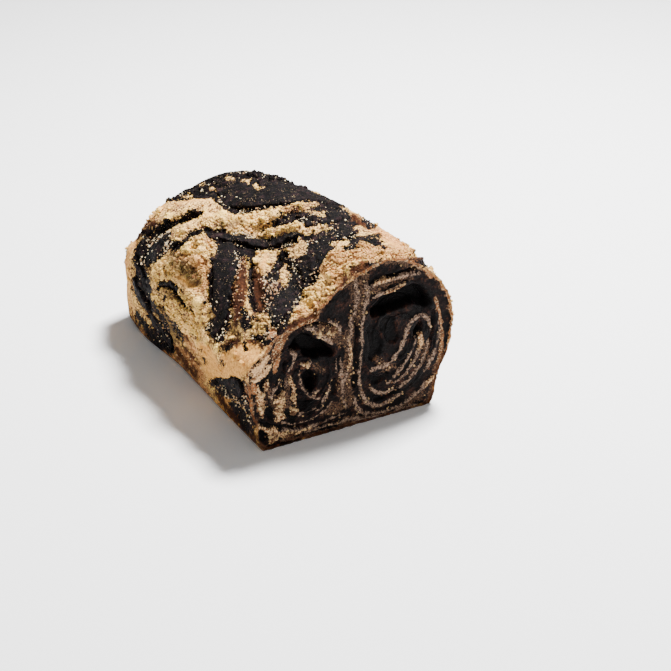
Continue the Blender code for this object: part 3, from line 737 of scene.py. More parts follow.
@dataclass(frozen=True)
class Markings:
    """Reads off how dark, brown, smooth and crumbly the crust is at any spot."""

    px_per_mm: float = 1.72
    reach_mm: float = 12.0
    reach_px: float = 22.0
    reach: float = 0.013
    path_step_px: float = 5.0
    path_step: float = 0.006
    seen_from: float = -0.26
    seen_fully: float = -0.10
    streak: tuple[float, float, float] = (0.50, -0.72, 0.48)
    squeeze: float = 0.72
    warp: float = 0.006
    warp_size: float = 0.03
    veins: Bumps = Bumps(0.0125, 1.0, 3, 7.0)
    patches: Bumps = Bumps(0.018, 1.0, 3, 17.0)
    # Widening of the drawn strips, in mm
    more_brown: float = 0.7
    more_dark: float = 0.45
    # Ragged border of the open chocolate, in mm
    more_cover: float = 0.8
    ragged: tuple[Bumps, Bumps] = (Bumps(0.0048, 1.9, 2, 51.0), Bumps(0.0019, 1.5, 2, 53.0))

    def hidden(self, points: Array, turn: Array) -> Marks:
        """Work out markings for the sides that the picture doesn't show: streaks of marbling.

        Args:
            points: rows of x, y and z.
            turn: their radians round the long axis.

        Returns:
            For each tone the depth inside it in mm, negative outside.
        """
        streak = np.array(self.streak)
        shifts = [fractal(points, self.warp_size, 1, seed) for seed in (1, 2, 3)]
        warped = points + self.warp * np.stack(shifts, axis=-1)
        veins = self.veins.read(warped - self.squeeze * (warped @ streak)[..., None] * streak)
        patches = self.patches.read(points)
        height = points[..., 2] * 1000
        nowhere = np.full(height.shape, -self.reach_mm)
        return {
            "dark": (veins - 0.13) * 24 - 3 * rise(-height, -14, -4),
            "pale": nowhere,
            "brown": (14 - height) * 0.22 + patches * 8 - 1.0,
            "pink": (40 - height) * 0.09 + patches * 8 - 0.6,
            "dull_shade": veins * 8 - 1.6 + (24 - height) * 0.05,
            "smooth": (22 - height) * 0.14 + patches * 4 - 1.6,
            "crumbly": 4.5 - np.abs(np.degrees(turn)) / 20 - patches * 3,
            "sugared": veins * 5 - patches * 6 - 1.5,
            "ridge": nowhere,
            "groove": nowhere,
        }

    def read(self, turn: Array, run: Array) -> Marks:
        """Measure the markings of spots on the crust.

        Args:
            turn: radians of each spot.
            run: metres of each spot.

        Returns:
            For each tone the depth inside it in mm, negative outside. The name "cover" gives the
            same for the open chocolate of the part's own strips.
        """
        points = FORM.point(turn, run)
        normals = FORM.normal(turn, run)
        toward = np.array(CAMERA.place) - points
        facing = np.sum(toward * normals, axis=-1) / np.linalg.norm(toward, axis=-1)
        seen = rise(facing, self.seen_from, self.seen_fully)
        x, y = CAMERA.pixels(points)
        across = turn * FORM.crust_reach
        strips = strongest(across, run, tuple(SWIRLS.values()), self.path_step, self.reach, True) * 1000
        strips = np.clip(strips, -self.reach_mm, self.reach_mm)
        back = self.hidden(points, turn)
        found: Marks = {}
        for kind in Tone:
            shown = strongest(x, y, SEEN[kind], self.path_step_px, self.reach_px) / self.px_per_mm
            shown = np.clip(shown, -self.reach_mm, self.reach_mm)
            unseen = back[kind.value]
            if kind in HIDDEN:
                drawn = strongest(across, run, HIDDEN[kind], self.path_step, self.reach, True) * 1000
                unseen = np.maximum(unseen, drawn)
            if kind is Tone.DARK:
                unseen = np.maximum(unseen, strips)
            unseen = np.clip(unseen, -self.reach_mm, self.reach_mm)
            found[kind.value] = shown * seen + unseen * (1 - seen)
        found["brown"] += self.more_brown
        pale_off = np.where(found["pale"] > -1, -found["pale"], 99)
        found["dark"] = np.minimum(found["dark"] + self.more_dark, pale_off)
        ragged = sum(layer.read(points) for layer in self.ragged)
        found["cover"] = np.minimum(strips, found["dark"] + self.more_cover) + ragged
        return found

    def at(self, points: Array) -> Marks:
        """Find the markings of the crust under some points.

        Args:
            points: rows of x, y and z on or near the crust.

        Returns:
            The same marks as read gives.
        """
        turn = np.arctan2(points[..., 0], points[..., 2] - FORM.axis_height)
        over = np.clip((points[..., 1] - FORM.end_start) / FORM.end_depth, 0, 1)
        bent = FORM.end_start + FORM.end_run * np.arcsin(over) * 2 / math.pi
        return self.read(turn, np.where(points[..., 1] < FORM.end_start, points[..., 1], bent))


MARKINGS = Markings()
# Values kept on the vertices; one of them is painted shade in creases and under lumps
KEPT = ("dark", "brown", "pink", "dull_shade", "smooth", "sunk")


@dataclass(frozen=True)
class Relief:
    """The fine relief of the crust, with heights in metres."""

    folds: Bumps = Bumps(0.0065, 1.0, 3, 31.0)
    fold_middle: float = 0.5
    fold_sharpness: float = 1.6
    fold_height: float = 0.0009
    fold_knots: Bumps = Bumps(0.0018, 0.00035, 2, 33.0)
    clumps: Bumps = Bumps(0.0042, 0.0010, 2, 5.0)
    knots: Bumps = Bumps(0.0016, 0.00056, 2, 9.0)
    lumps: Bumps = Bumps(0.010, 0.0010, 3, 3.0)
    crumb_height: float = 0.0008
    chocolate_drop: float = 0.0004
    ridge: float = 0.0016
    groove: float = 0.0017
    cover_drop: float = 0.0016
    crevice_shade_middle: float = 0.42
    crevice_shade_height: float = 0.0011

    def wrinkles(self, points: Array) -> Array:
        """Return the rough relief of open chocolate: folds with finer knots on them."""
        folds = self.fold_middle - np.abs(self.folds.read(points)) * self.fold_sharpness
        return folds * self.fold_height + self.fold_knots.read(points)

    def cover(self, marks: Marks) -> Array:
        """Return how far the crust is sunk under the open chocolate."""
        return self.cover_drop * rise(marks["cover"], -0.4, 0.5)

    def read(self, points: Array, marks: Marks) -> tuple[Array, Array]:
        """Work out the relief of the crust.

        Args:
            points: spots of the bare crust.
            marks: their markings.

        Returns:
            How far each spot stands out of the bare form in metres, and from 0 to 1 how far it
            lies down in a crease between crumbs, which sets the painted crease shade.
        """
        rough = 1 - 0.8 * rise(marks["smooth"], -1, 2)
        crumbly = rise(marks["crumbly"], -2.5, 2)
        dark = rise(marks["dark"], -0.8, 0.8)
        clumps = self.clumps.read(points) * crumbly
        knots = self.knots.read(points)
        pale = (self.lumps.read(points) + clumps + knots) * rough + self.crumb_height * crumbly
        chocolate = self.wrinkles(points) * (0.35 + 0.65 * rough) - self.chocolate_drop
        out = pale * (1 - dark) + chocolate * dark
        out += self.ridge * rise(marks["ridge"], -1.5, 2.2) - self.groove * rise(marks["groove"], -1.2, 0.9)
        # Painted shade: how far a spot lies down between knots and clumps, for darkening its colour
        sunk = np.clip(self.crevice_shade_middle - (knots + 0.8 * clumps) / self.crevice_shade_height, 0, 1)
        return out - self.cover(marks), sunk


RELIEF = Relief()


# Meshes

MERGE = 2e-7
SLIVER = 1e-7


def mark_vertices(mesh: bpy.types.Mesh, values: Marks) -> None:
    """Store named values on a mesh, one for each vertex.

    Args:
        mesh: the mesh.
        values: the values by name.
    """
    for label, value in values.items():
        layer = mesh.attributes.new(label, "FLOAT", "POINT")
        layer.data.foreach_set("value", value.astype(float))


def put_in_scene(name: str, mesh: bpy.types.Mesh) -> bpy.types.Object:
    """Make an object of a mesh and link it.

    Args:
        name: name of the object.
        mesh: its mesh.

    Returns:
        The object, at the origin.
    """
    piece = bpy.data.objects.new(name, mesh)
    bpy.context.scene.collection.objects.link(piece)
    return piece


def sheet_mesh(name: str, columns: int, rows: int, place: PlaceRule, wrapped: bool = True,
               capped: bool = False) -> bpy.types.Object:
    """Make a closed piece from a grid whose vertices are moved to their places.

    Args:
        name: name of the piece.
        columns: number of cells round the piece.
        rows: number of cells along it.
        place: rule that gives points and named values for columns and rows.
        wrapped: whether the last column meets the first one.
        capped: whether the open ends are filled.

    Returns:
        The new object, linked to the scene, with its normals outward.
    """
    shell = bmesh.new()
    bmesh.ops.create_grid(shell, x_segments=columns, y_segments=rows, size=1)
    mesh = bpy.data.meshes.new(name)
    shell.to_mesh(mesh)
    shell.free()
    flat = np.empty(len(mesh.vertices) * 3)
    mesh.vertices.foreach_get("co", flat)
    column = np.rint((flat[0::3] + 1) / 2 * columns).astype(int)
    row = np.rint((flat[1::3] + 1) / 2 * rows).astype(int)
    if wrapped:
        column = column % columns
    points, values = place(column, row)
    mesh.vertices.foreach_set("co", points.astype(float).ravel())
    mark_vertices(mesh, values)
    shell = bmesh.new()
    shell.from_mesh(mesh)
    bmesh.ops.remove_doubles(shell, verts=shell.verts, dist=MERGE)
    if capped:
        edges = [edge for edge in shell.edges if edge.is_boundary]
        bmesh.ops.holes_fill(shell, edges=edges, sides=0)
    bmesh.ops.dissolve_degenerate(shell, dist=SLIVER, edges=shell.edges)
    bmesh.ops.recalc_face_normals(shell, faces=shell.faces)
    shell.to_mesh(mesh)
    shell.free()
    mesh.shade_smooth()
    return put_in_scene(name, mesh)


def random_turns(draw: np.random.Generator, count: int) -> Array:
    """Draw random turns, evenly spread over all directions.

    Args:
        draw: source of random numbers.
        count: number of turns.

    Returns:
        One rotation matrix for each.
    """
    quaternion = draw.normal(size=(count, 4))
    quaternion /= np.linalg.norm(quaternion, axis=1)[:, None]
    w, x, y, z = quaternion.T
    return np.stack([
        np.stack([1 - 2 * (y * y + z * z), 2 * (x * y - z * w), 2 * (x * z + y * w)], axis=-1),
        np.stack([2 * (x * y + z * w), 1 - 2 * (x * x + z * z), 2 * (y * z - x * w)], axis=-1),
        np.stack([2 * (x * z - y * w), 2 * (y * z + x * w), 1 - 2 * (x * x + y * y)], axis=-1),
    ], axis=1)


def rim_mm(y: Array) -> Array:
    """Return how far places lie behind the cut, in mm and 20 at most."""
    return np.clip((y - FORM.cut_y) * 1000, 0, 20)


@dataclass(frozen=True)
class LumpForm:
    """How a small lump differs from a ball, in shares of its radius."""

    knobs: int = 5
    knob_least: float = 0.2
    knob_middle: float = 0.75
    knob_gain: float = 1.6
    speckle: float = 0.22
    stretch: tuple[float, float] = (0.72, 1.25)
    # Painted shade under a lump: how far its underside is darkened as a crease
    sunk_middle: float = 0.35
    sunk_gain: float = 0.65


LUMP = LumpForm()


def lump_mesh(name: str, centres: Array, radii: Array, fineness: int, jitter: float,
              draw: np.random.Generator, values: Marks | None = None) -> bpy.types.Object:
    """Make one joined piece of many small uneven lumps.

    Args:
        name: name of the piece.
        centres: place of each lump.
        radii: radius of each lump.
        fineness: subdivisions of the ball that each lump starts from.
        jitter: unevenness as a share of the radius.
        draw: source of random numbers.
        values: named values, one for each lump, or None to mark each vertex as the crust under it, with
            painted shade on its underside.

    Returns:
        The new object, linked to the scene.
    """
    shell = bmesh.new()
    bmesh.ops.create_icosphere(shell, subdivisions=fineness, radius=1)
    shell.verts.index_update()
    ball = np.array([vertex.co[:] for vertex in shell.verts])
    faces = np.array([[vertex.index for vertex in face.verts] for face in shell.faces])
    shell.free()
    count, size = len(centres), len(ball)
    knobs = draw.normal(size=(count, LUMP.knobs, 3))
    knobs /= np.linalg.norm(knobs, axis=2)[:, :, None]
    bumps = np.clip(np.einsum("nkd,vd->nvk", knobs, ball), LUMP.knob_least, 1)
    swell = 1 + jitter * (bumps.max(axis=2) - LUMP.knob_middle) * LUMP.knob_gain
    swell += draw.normal(size=(count, size)) * jitter * LUMP.speckle
    stretch = draw.uniform(*LUMP.stretch, size=(count, 1, 3))
    local = ball[None] * swell[:, :, None] * stretch * radii[:, None, None]
    turned = np.einsum("nij,nvj->nvi", random_turns(draw, count), local) + centres[:, None, :]
    turned[..., 2] = np.maximum(turned[..., 2], 0.0)
    all_faces = (faces[None] + (np.arange(count) * size)[:, None, None]).reshape(-1, 3)
    mesh = bpy.data.meshes.new(name)
    mesh.from_pydata(turned.reshape(-1, 3).tolist(), [], all_faces.tolist())
    if values is None:
        marks = MARKINGS.at(turned.reshape(-1, 3))
        middle = np.stack([0 * radii, np.minimum(centres[:, 1], FORM.end_start),
                           np.full(count, FORM.axis_height)], axis=-1)
        outward = centres - middle
        outward /= np.linalg.norm(outward, axis=1)[:, None]
        # Painted shade: the lower side of each lump is darkened like a crease
        above = np.einsum("nvd,nd->nv", turned - centres[:, None, :], outward) / radii[:, None]
        marks["sunk"] = np.clip(LUMP.sunk_middle - LUMP.sunk_gain * above, 0, 1).ravel()
        spread = {label: marks[label] for label in KEPT}
        spread["rim"] = rim_mm(turned[..., 1].ravel())
    else:
        spread = {label: np.repeat(value, size) for label, value in values.items()}
    mark_vertices(mesh, spread)
    mesh.shade_smooth()
    return put_in_scene(name, mesh)


def fit_out(piece: bpy.types.Object, material: bpy.types.Material, slot: str, *nodes: str) -> None:
    """Dress a piece and say what it rides on.

    Args:
        piece: the object.
        material: its finish.
        slot: not used.
        nodes: the CAD nodes that it stands for.
    """
    piece.data.materials.clear()
    piece.data.materials.append(material)
    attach(piece, "root")
    if nodes:
        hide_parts(*nodes)
    LOG.info("%s: %d faces", piece.name, len(piece.data.polygons))


# Shader tools

Colour = bpy.types.NodeSocket | Screen


def tone(red: float, green: float, blue: float) -> tuple[float, float, float, float]:
    """Return a colour given in screen values from 0 to 255 as linear values."""
    return (*(((v / 255 + 0.055) / 1.055) ** 2.4 if v > 10 else v / 255 / 12.92
              for v in (red, green, blue)), 1.0)


class Sock:
    """A socket that can be used in sums: each operator adds a Math node."""

    def __init__(self, tree: "Tree", socket: bpy.types.NodeSocket) -> None:
        """Keep the socket and the tree that it belongs to."""
        self.tree = tree
        self.socket = socket

    def maths(self, operation: str, *values: "Sock | float") -> "Sock":
        """Return the result of a Math node on some values."""
        node = self.tree.node("ShaderNodeMath", {"operation": operation}, dict(enumerate(values)))
        return Sock(self.tree, node.outputs[0])

    def __add__(self, other: "Sock | float") -> "Sock":
        """Return the sum."""
        return self.maths("ADD", self, other)

    __radd__ = __add__

    def __sub__(self, other: "Sock | float") -> "Sock":
        """Return the difference."""
        return self.maths("SUBTRACT", self, other)

    def __rsub__(self, other: "Sock | float") -> "Sock":
        """Return the difference the other way round."""
        return self.maths("SUBTRACT", other, self)

    def __mul__(self, other: "Sock | float") -> "Sock":
        """Return the product."""
        return self.maths("MULTIPLY", self, other)

    __rmul__ = __mul__

    def ease(self, low: float, high: float) -> "Sock":
        """Make a soft step.

        Args:
            low: value at which it is 0.
            high: value at which it is 1, below or above the other.

        Returns:
            The step's height.
        """
        if low > high:
            return 1 - self.ease(high, low)
        node = self.tree.node("ShaderNodeMapRange", {"interpolation_type": "SMOOTHSTEP"},
                              {0: self, 1: low, 2: high})
        return Sock(self.tree, node.outputs[0])


class Tree:
    """A material's node tree with one Principled shader."""

    def __init__(self, name: str) -> None:
        """Make the material and find its shader.

        Args:
            name: name of the material.
        """
        self.material = bpy.data.materials.new(name)
        self.material.use_nodes = True
        self.nodes = self.material.node_tree.nodes
        self.links = self.material.node_tree.links
        self.shader = self.nodes["Principled BSDF"]
        coordinates = self.node("ShaderNodeTexCoord", {}, {})
        self.place = coordinates.outputs["Object"]

    def node(self, kind: str, settings: dict, values: dict) -> bpy.types.Node:
        """Add a node.

        Args:
            kind: type of the node.
            settings: its properties, set first.
            values: numbers, colours or links for its input sockets, by name or number.

        Returns:
            The new node.
        """
        node = self.nodes.new(kind)
        for label, value in settings.items():
            setattr(node, label, value)
        for label, value in values.items():
            self.feed(node.inputs[label], value)
        return node

    def feed(self, socket: bpy.types.NodeSocket, value: object) -> None:
        """Link a socket, or set its value.

        Args:
            socket: the input socket.
            value: a link, a number or a colour.
        """
        if isinstance(value, Sock):
            self.links.new(value.socket, socket)
        elif isinstance(value, bpy.types.NodeSocket):
            self.links.new(value, socket)
        else:
            socket.default_value = value

    def noise(self, scale: float, detail: float = 2.0, roughness: float = 0.5) -> Sock:
        """Make noise between 0 and 1.

        Args:
            scale: number of its lumps per metre.
            detail: number of finer layers.
            roughness: strength of the finer layers.

        Returns:
            The noise.
        """
        node = self.node("ShaderNodeTexNoise", {"noise_dimensions": "3D"},
                         {"Vector": self.place, "Scale": scale, "Detail": detail, "Roughness": roughness})
        return Sock(self, node.outputs["Fac"])

    def cells(self, scale: float) -> Sock:
        """Return the distance to the nearest of some scattered points, so many per metre."""
        node = self.node("ShaderNodeTexVoronoi", {"feature": "F1"}, {"Vector": self.place, "Scale": scale})
        return Sock(self, node.outputs["Distance"])

    def value(self, name: str) -> Sock:
        """Return a named value of the mesh."""
        node = self.node("ShaderNodeAttribute", {"attribute_name": name}, {})
        return Sock(self, node.outputs["Fac"])

    def height(self) -> Sock:
        """Return z of the place in metres."""
        node = self.node("ShaderNodeSeparateXYZ", {}, {0: self.place})
        return Sock(self, node.outputs[2])

    def blend(self, share: Sock, low: Colour, high: Colour) -> bpy.types.NodeSocket:
        """Mix two colours, each a link or screen values from 0 to 255.

        Args:
            share: share of the second colour.
            low: first colour.
            high: second colour.

        Returns:
            The mix.
        """
        low, high = (tone(*side) if isinstance(side, tuple) else side for side in (low, high))
        node = self.node("ShaderNodeMix", {"data_type": "RGBA"}, {0: share, 6: low, 7: high})
        return node.outputs[2]

    def bump(self, height: Sock, distance: float, strength: float) -> None:
        """Feed a height to the shader's normal, with the metres that a height of 1 stands for."""
        node = self.node("ShaderNodeBump", {}, {"Height": height, "Distance": distance, "Strength": strength})
        self.feed(self.shader.inputs["Normal"], node.outputs[0])

    def finish(self, colour: object, roughness: Sock | float, specular: float) -> bpy.types.Material:
        """Feed the shader.

        Args:
            colour: link or linear values of the base colour.
            roughness: link or number.
            specular: the shader's specular level.

        Returns:
            The material.
        """
        self.feed(self.shader.inputs["Base Color"], colour)
        self.feed(self.shader.inputs["Roughness"], roughness)
        self.shader.inputs["Specular IOR Level"].default_value = specular
        return self.material


# Finishes


@dataclass(frozen=True)
class ChocolateLook:
    """Baked chocolate: near black with a purple cast, wrinkled and a little dusty, with painted shade in its
    creases and, partly, painted highlights on its raised wrinkles.
    """

    # deep is painted shade in the creases of the wrinkles; warm is a warm tone that also stands as a painted
    # highlight on raised wrinkles
    deep: Screen = (3, 2, 2)
    body: Screen = (17, 10, 13)
    warm: Screen = (40, 25, 26)
    dust: Screen = (206, 174, 134)
    dust_share: float = 0.75
    roughness: float = 0.6

    def mix(self, tree: Tree) -> tuple[bpy.types.NodeSocket, Sock]:
        """Mix the chocolate.

        Args:
            tree: the material's nodes.

        Returns:
            Its colour and its height.
        """
        broad = tree.noise(240, 3)
        fine = tree.noise(1500, 3, 0.6)
        # Painted shade: the deep colour lies where the bump height is low, in the creases
        colour = tree.blend((broad * 0.6 + fine * 0.6).ease(0.52, 0.74), self.deep, self.body)
        # Partly painted highlight: the warm colour lies on the highest bumps
        colour = tree.blend((broad + fine * 0.4).ease(0.76, 0.90) * 0.8, colour, self.warm)
        dusted = tree.noise(130, 3, 0.65).ease(0.50, 0.62)
        specks = tree.cells(950).ease(0.26, 0.12) * (dusted * 0.9 + 0.1)
        colour = tree.blend(specks * self.dust_share, colour, self.dust)
        return colour, fine * 0.6 + broad * 0.8 + specks * 0.5


@dataclass(frozen=True)
class CrumbLook:
    """Baked butter crumb: cream grains, golden between them, partly browning and partly painted shade, and
    painted shade in the creases.
    """

    light: Screen = (255, 210, 114)
    body: Screen = (243, 186, 128)
    gold_and_shade: Screen = (190, 134, 104)
    crease_shade: Screen = (58, 38, 34)
    crease_shade_share: float = 0.9

    def mix(self, tree: Tree) -> bpy.types.NodeSocket:
        """Mix the crumb's colour before any browning.

        Args:
            tree: the material's nodes.

        Returns:
            The colour.
        """
        patch = tree.noise(110, 2)
        grain = tree.noise(820, 3, 0.7)
        fine = tree.noise(2100, 2, 0.6)
        sunk = tree.value("sunk")
        # Partly painted shade: grains turn golden-dark where they lie low in a crease
        share = (grain * 0.6 + fine * 0.4 + patch * 0.25 - sunk * 0.30).ease(0.36, 0.62)
        colour = tree.blend(share, self.gold_and_shade, self.light)
        colour = tree.blend(patch.ease(0.42, 0.62) * 0.5, colour, self.body)
        # Painted shade: near dark in the creases between grains
        crease_shade = (grain * 0.65 + fine * 0.35 - sunk * 0.20).ease(0.45, 0.33)
        return tree.blend(crease_shade * self.crease_shade_share, colour, self.crease_shade)


@dataclass(frozen=True)
class RimLook:
    """The browned edge of the crust at the cut: warm, dark and pale spots, darkest low down."""

    warm: Screen
    deep: Screen
    pale: Screen
    low: Screen
    low_share: float = 0.85
    low_end: float = 0.036
    low_start: float = 0.018

    def mix(self, tree: Tree, patches: Sock, spots: Sock) -> bpy.types.NodeSocket:
        """Mix the rim's colour.

        Args:
            tree: the material's nodes.
            patches: where it is dark, from 0 to 1.
            spots: where it is pale, from 0 to 1.

        Returns:
            The colour.
        """
        colour = tree.blend(patches, self.warm, self.deep)
        colour = tree.blend(spots, colour, self.pale)
        low = tree.height().ease(self.low_end, self.low_start)
        return tree.blend(low * self.low_share, colour, self.low)


@dataclass(frozen=True)
class CrustFinish:
    """The whole loaf's skin: crumb, chocolate marbling and browned parts, with painted shade in creases and
    hollows.
    """

    name: str = "baked_crust"
    chocolate: ChocolateLook = ChocolateLook()
    crumb: CrumbLook = CrumbLook()
    tan: Screen = (226, 166, 84)
    deep_tan: Screen = (170, 110, 54)
    spot: Screen = (36, 20, 17)
    flesh: Screen = (236, 170, 108)
    # Dull grey-brown, partly painted shade in hollows
    deep_flesh: Screen = (84, 38, 24)
    dull_shade: Screen = (52, 40, 32)
    rust: Screen = (60, 32, 21)
    umber: Screen = (31, 17, 13)
    baked: Screen = (104, 62, 38)
    brown_share: float = 0.99
    rim: RimLook = RimLook(warm=(160, 102, 62), deep=(58, 32, 22), pale=(240, 198, 148),
                           low=(60, 32, 21))
    roughness: float = 0.88
    specular: float = 0.035
    bump: tuple[float, float] = (0.0011, 0.9)

    def build(self) -> bpy.types.Material:
        """Build the skin's material, layer over layer.

        Returns:
            The material.
        """
        tree = Tree(self.name)
        fine = tree.noise(1700, 3, 0.6)
        grain = tree.noise(700, 3, 0.6)
        lump = tree.noise(260, 2)
        uneven = grain * 0.6 + fine * 0.5
        smooth = tree.value("smooth").ease(-1.0, 2.0)
        rough = 1 - smooth * 0.75
        choc, choc_height = self.chocolate.mix(tree)
        colour = self.crumb.mix(tree)
        tan = tree.blend(uneven.ease(0.42, 0.68), self.tan, self.deep_tan)
        colour = tree.blend(smooth * 0.8, colour, tan)
        # Dark specks among the grains, a little more where the painted crease shade lies
        spots = (tree.noise(480, 3, 0.7) + tree.value("sunk") * 0.05).ease(0.585, 0.635) * rough
        colour = tree.blend(spots * 0.7, colour, self.spot)
        pink = (tree.value("pink") + (lump - 0.5) * 5).ease(-0.8, 1.5)
        flesh = tree.blend(uneven.ease(0.48, 0.64), self.deep_flesh, self.flesh)
        colour = tree.blend(pink * 0.8, colour, flesh)
        # Painted shade, partly a dull grey tone: darker in hollows and low on the walls
        dull_shade = (tree.value("dull_shade") + (lump - 0.5) * 6).ease(-0.8, 1.8)
        colour = tree.blend(dull_shade * (0.5 + grain * 0.5), colour, self.dull_shade)
        brown = (tree.value("brown") + (grain - 0.5) * 6 + (lump - 0.5) * 6).ease(-1.1, 1.3)
        rust = tree.blend((fine * 0.6 + grain * 0.5).ease(0.44, 0.66), self.rust, self.umber)
        rust = tree.blend((grain * lump).ease(0.26, 0.38) * 0.7, rust, self.baked)
        colour = tree.blend(brown * self.brown_share, colour, rust)
        ragged = (grain - 0.5) * 6 + (fine - 0.5) * 2.5 + (lump - 0.5) * 3.5
        mask = (tree.value("dark") + ragged).ease(-0.25, 0.35)
        colour = tree.blend(mask, colour, choc)
        rim = (tree.value("rim") + (grain - 0.5) * 1.6).ease(1.0, 0.2)
        edge = self.rim.mix(tree, (grain * 0.6 + lump * 0.5).ease(0.50, 0.62), uneven.ease(0.55, 0.68) * 0.8)
        colour = tree.blend(rim * lump.ease(0.30, 0.52) * (0.9 - smooth * 0.75), colour, edge)
        light = (tree.cells(760).ease(0.55, 0.0) * 0.7 + grain * 0.6 + fine * 0.5) * rough
        tree.bump(light * (1 - mask) + choc_height * mask * 0.8, *self.bump)
        gloss = self.roughness - mask * (self.roughness - self.chocolate.roughness)
        return tree.finish(colour, gloss, self.specular)


@dataclass(frozen=True)
class SwirlFinish:
    """Open chocolate on the crust."""

    name: str = "baked_chocolate"
    chocolate: ChocolateLook = ChocolateLook()
    specular: float = 0.06
    bump: tuple[float, float] = (0.0016, 0.9)

    def build(self) -> bpy.types.Material:
        """Build the chocolate's material.

        Returns:
            The material.
        """
        tree = Tree(self.name)
        colour, height = self.chocolate.mix(tree)
        tree.bump(height, *self.bump)
        return tree.finish(colour, self.chocolate.roughness, self.specular)


@dataclass(frozen=True)
class CutFinish:
    """What the cut lays open: near black layers, grey and cream edges of dough, a browned rim, and painted
    shade in its cavities.
    """

    name: str = "cut_layers"
    deep: Screen = (5, 3, 3)
    body: Screen = (28, 15, 12)
    knot: Screen = (70, 42, 30)
    gloss: float = 0.35
    specular: float = 0.08
    dough: Screen = (120, 90, 68)
    deep_dough: Screen = (22, 13, 11)
    ash: Screen = (164, 136, 114)
    deep_ash: Screen = (42, 28, 25)
    cream: Screen = (240, 198, 144)
    deep_cream: Screen = (104, 66, 44)
    core: Screen = (240, 194, 140)
    # Painted shade: near black for the cavities and gaps of the cut
    hole_shade: Screen = (4, 3, 3)
    rim_warm: Screen = (154, 98, 60)
    rim_deep: Screen = (50, 28, 20)
    rim_pale: Screen = (240, 198, 148)
    roughness: float = 0.85
    bump: tuple[float, float] = (0.0011, 0.85)

    def build(self) -> bpy.types.Material:
        """Build the cut's material, layer over layer.

        Returns:
            The material.
        """
        tree = Tree(self.name)
        fine = tree.noise(1900, 3, 0.6)
        grain = tree.noise(850, 3, 0.6)
        broad = tree.noise(190, 3, 0.6)
        uneven = grain * 0.6 + fine * 0.5
        jag = (grain - 0.5) * 1.6 + (fine - 0.5) * 0.9
        colour = tree.blend((fine * 0.5 + broad * 0.6).ease(0.46, 0.72), self.deep, self.body)
        colour = tree.blend((grain * broad).ease(0.29, 0.38) * 0.6, colour, self.knot)
        crumb = (tree.value("crumb") + (broad - 0.5) * 7 + jag * 1.8).ease(-0.4, 0.8)
        dough = tree.blend(uneven.ease(0.48, 0.66), self.deep_dough, self.dough)
        colour = tree.blend(crumb * 0.7, colour, dough)
        grey = (tree.value("grey") + jag * 1.2 + (broad - 0.5) * 3.6).ease(-0.25, 0.45)
        ash = tree.blend(uneven.ease(0.46, 0.66), self.deep_ash, self.ash)
        colour = tree.blend(grey * 0.9, colour, ash)
        rust = (tree.value("rust") + jag * 1.2 + (broad - 0.5) * 3).ease(-0.3, 0.5)
        rim = RimLook(self.rim_warm, self.rim_deep, self.rim_pale, self.knot)
        bake = rim.mix(tree, (grain * 0.6 + broad * 0.5).ease(0.46, 0.64), uneven.ease(0.55, 0.68) * 0.8)
        colour = tree.blend(rust * 0.9, colour, bake)
        light = (tree.value("light") + jag * 2.4 + (broad - 0.5) * 2.5 - 0.15).ease(-0.3, 0.45)
        cream = tree.blend((grain * 0.6 + fine * 0.4).ease(0.45, 0.64), self.deep_cream, self.cream)
        cream = tree.blend((tree.value("light") + jag * 2.4).ease(0.3, 2.4) * 0.6, cream, self.core)
        colour = tree.blend(light, colour, cream)
        # Painted shade: cavities and gaps of the cut are darkened to near black
        colour = tree.blend(tree.value("hole_shade").ease(0.15, 0.8) * 0.92, colour, self.hole_shade)
        tree.bump(grain * 0.7 + fine * 0.6, *self.bump)
        moist = (1 - light) * (1 - grey) * fine
        return tree.finish(colour, self.roughness - moist * self.gloss, self.specular)


@dataclass(frozen=True)
class LooseFinish:
    """Loose crumb: each lump has its own shade, some are browned and some are chocolate."""

    name: str
    dark: Screen
    light: Screen
    browned: Screen
    roughness: float = 0.85
    specular: float = 0.1
    chocolate: Screen = (28, 18, 19)
    deep_chocolate: Screen = (6, 4, 5)
    bump: tuple[float, float] = (0.0008, 0.85)

    def build(self) -> bpy.types.Material:
        """Build the crumb's material.

        Returns:
            The material.
        """
        tree = Tree(self.name)
        grain = tree.noise(900, 3, 0.6)
        fine = tree.noise(2300, 2, 0.6)
        shade = tree.value("shade") + (grain - 0.5) * 1.6 + (fine - 0.5) * 0.8
        colour = tree.blend(shade.ease(0.05, 0.95), self.dark, self.light)
        browned = (tree.value("browned") + (grain - 0.5) * 1.2).ease(0.15, 0.9)
        colour = tree.blend(browned * 0.85, colour, self.browned)
        choc = tree.blend(grain.ease(0.45, 0.70), self.deep_chocolate, self.chocolate)
        colour = tree.blend(tree.value("choc").ease(0.4, 0.6), colour, choc)
        tree.bump(grain + fine, *self.bump)
        return tree.finish(colour, self.roughness, self.specular)


# The loaf's pieces


class FaceTone(Enum):
    """What a marking does to the cut face."""

    LIGHT = "light"
    GREY = "grey"
    CRUMB = "crumb"
    RUST = "rust"
    DEEP = "deep"
    SHALLOW = "shallow"


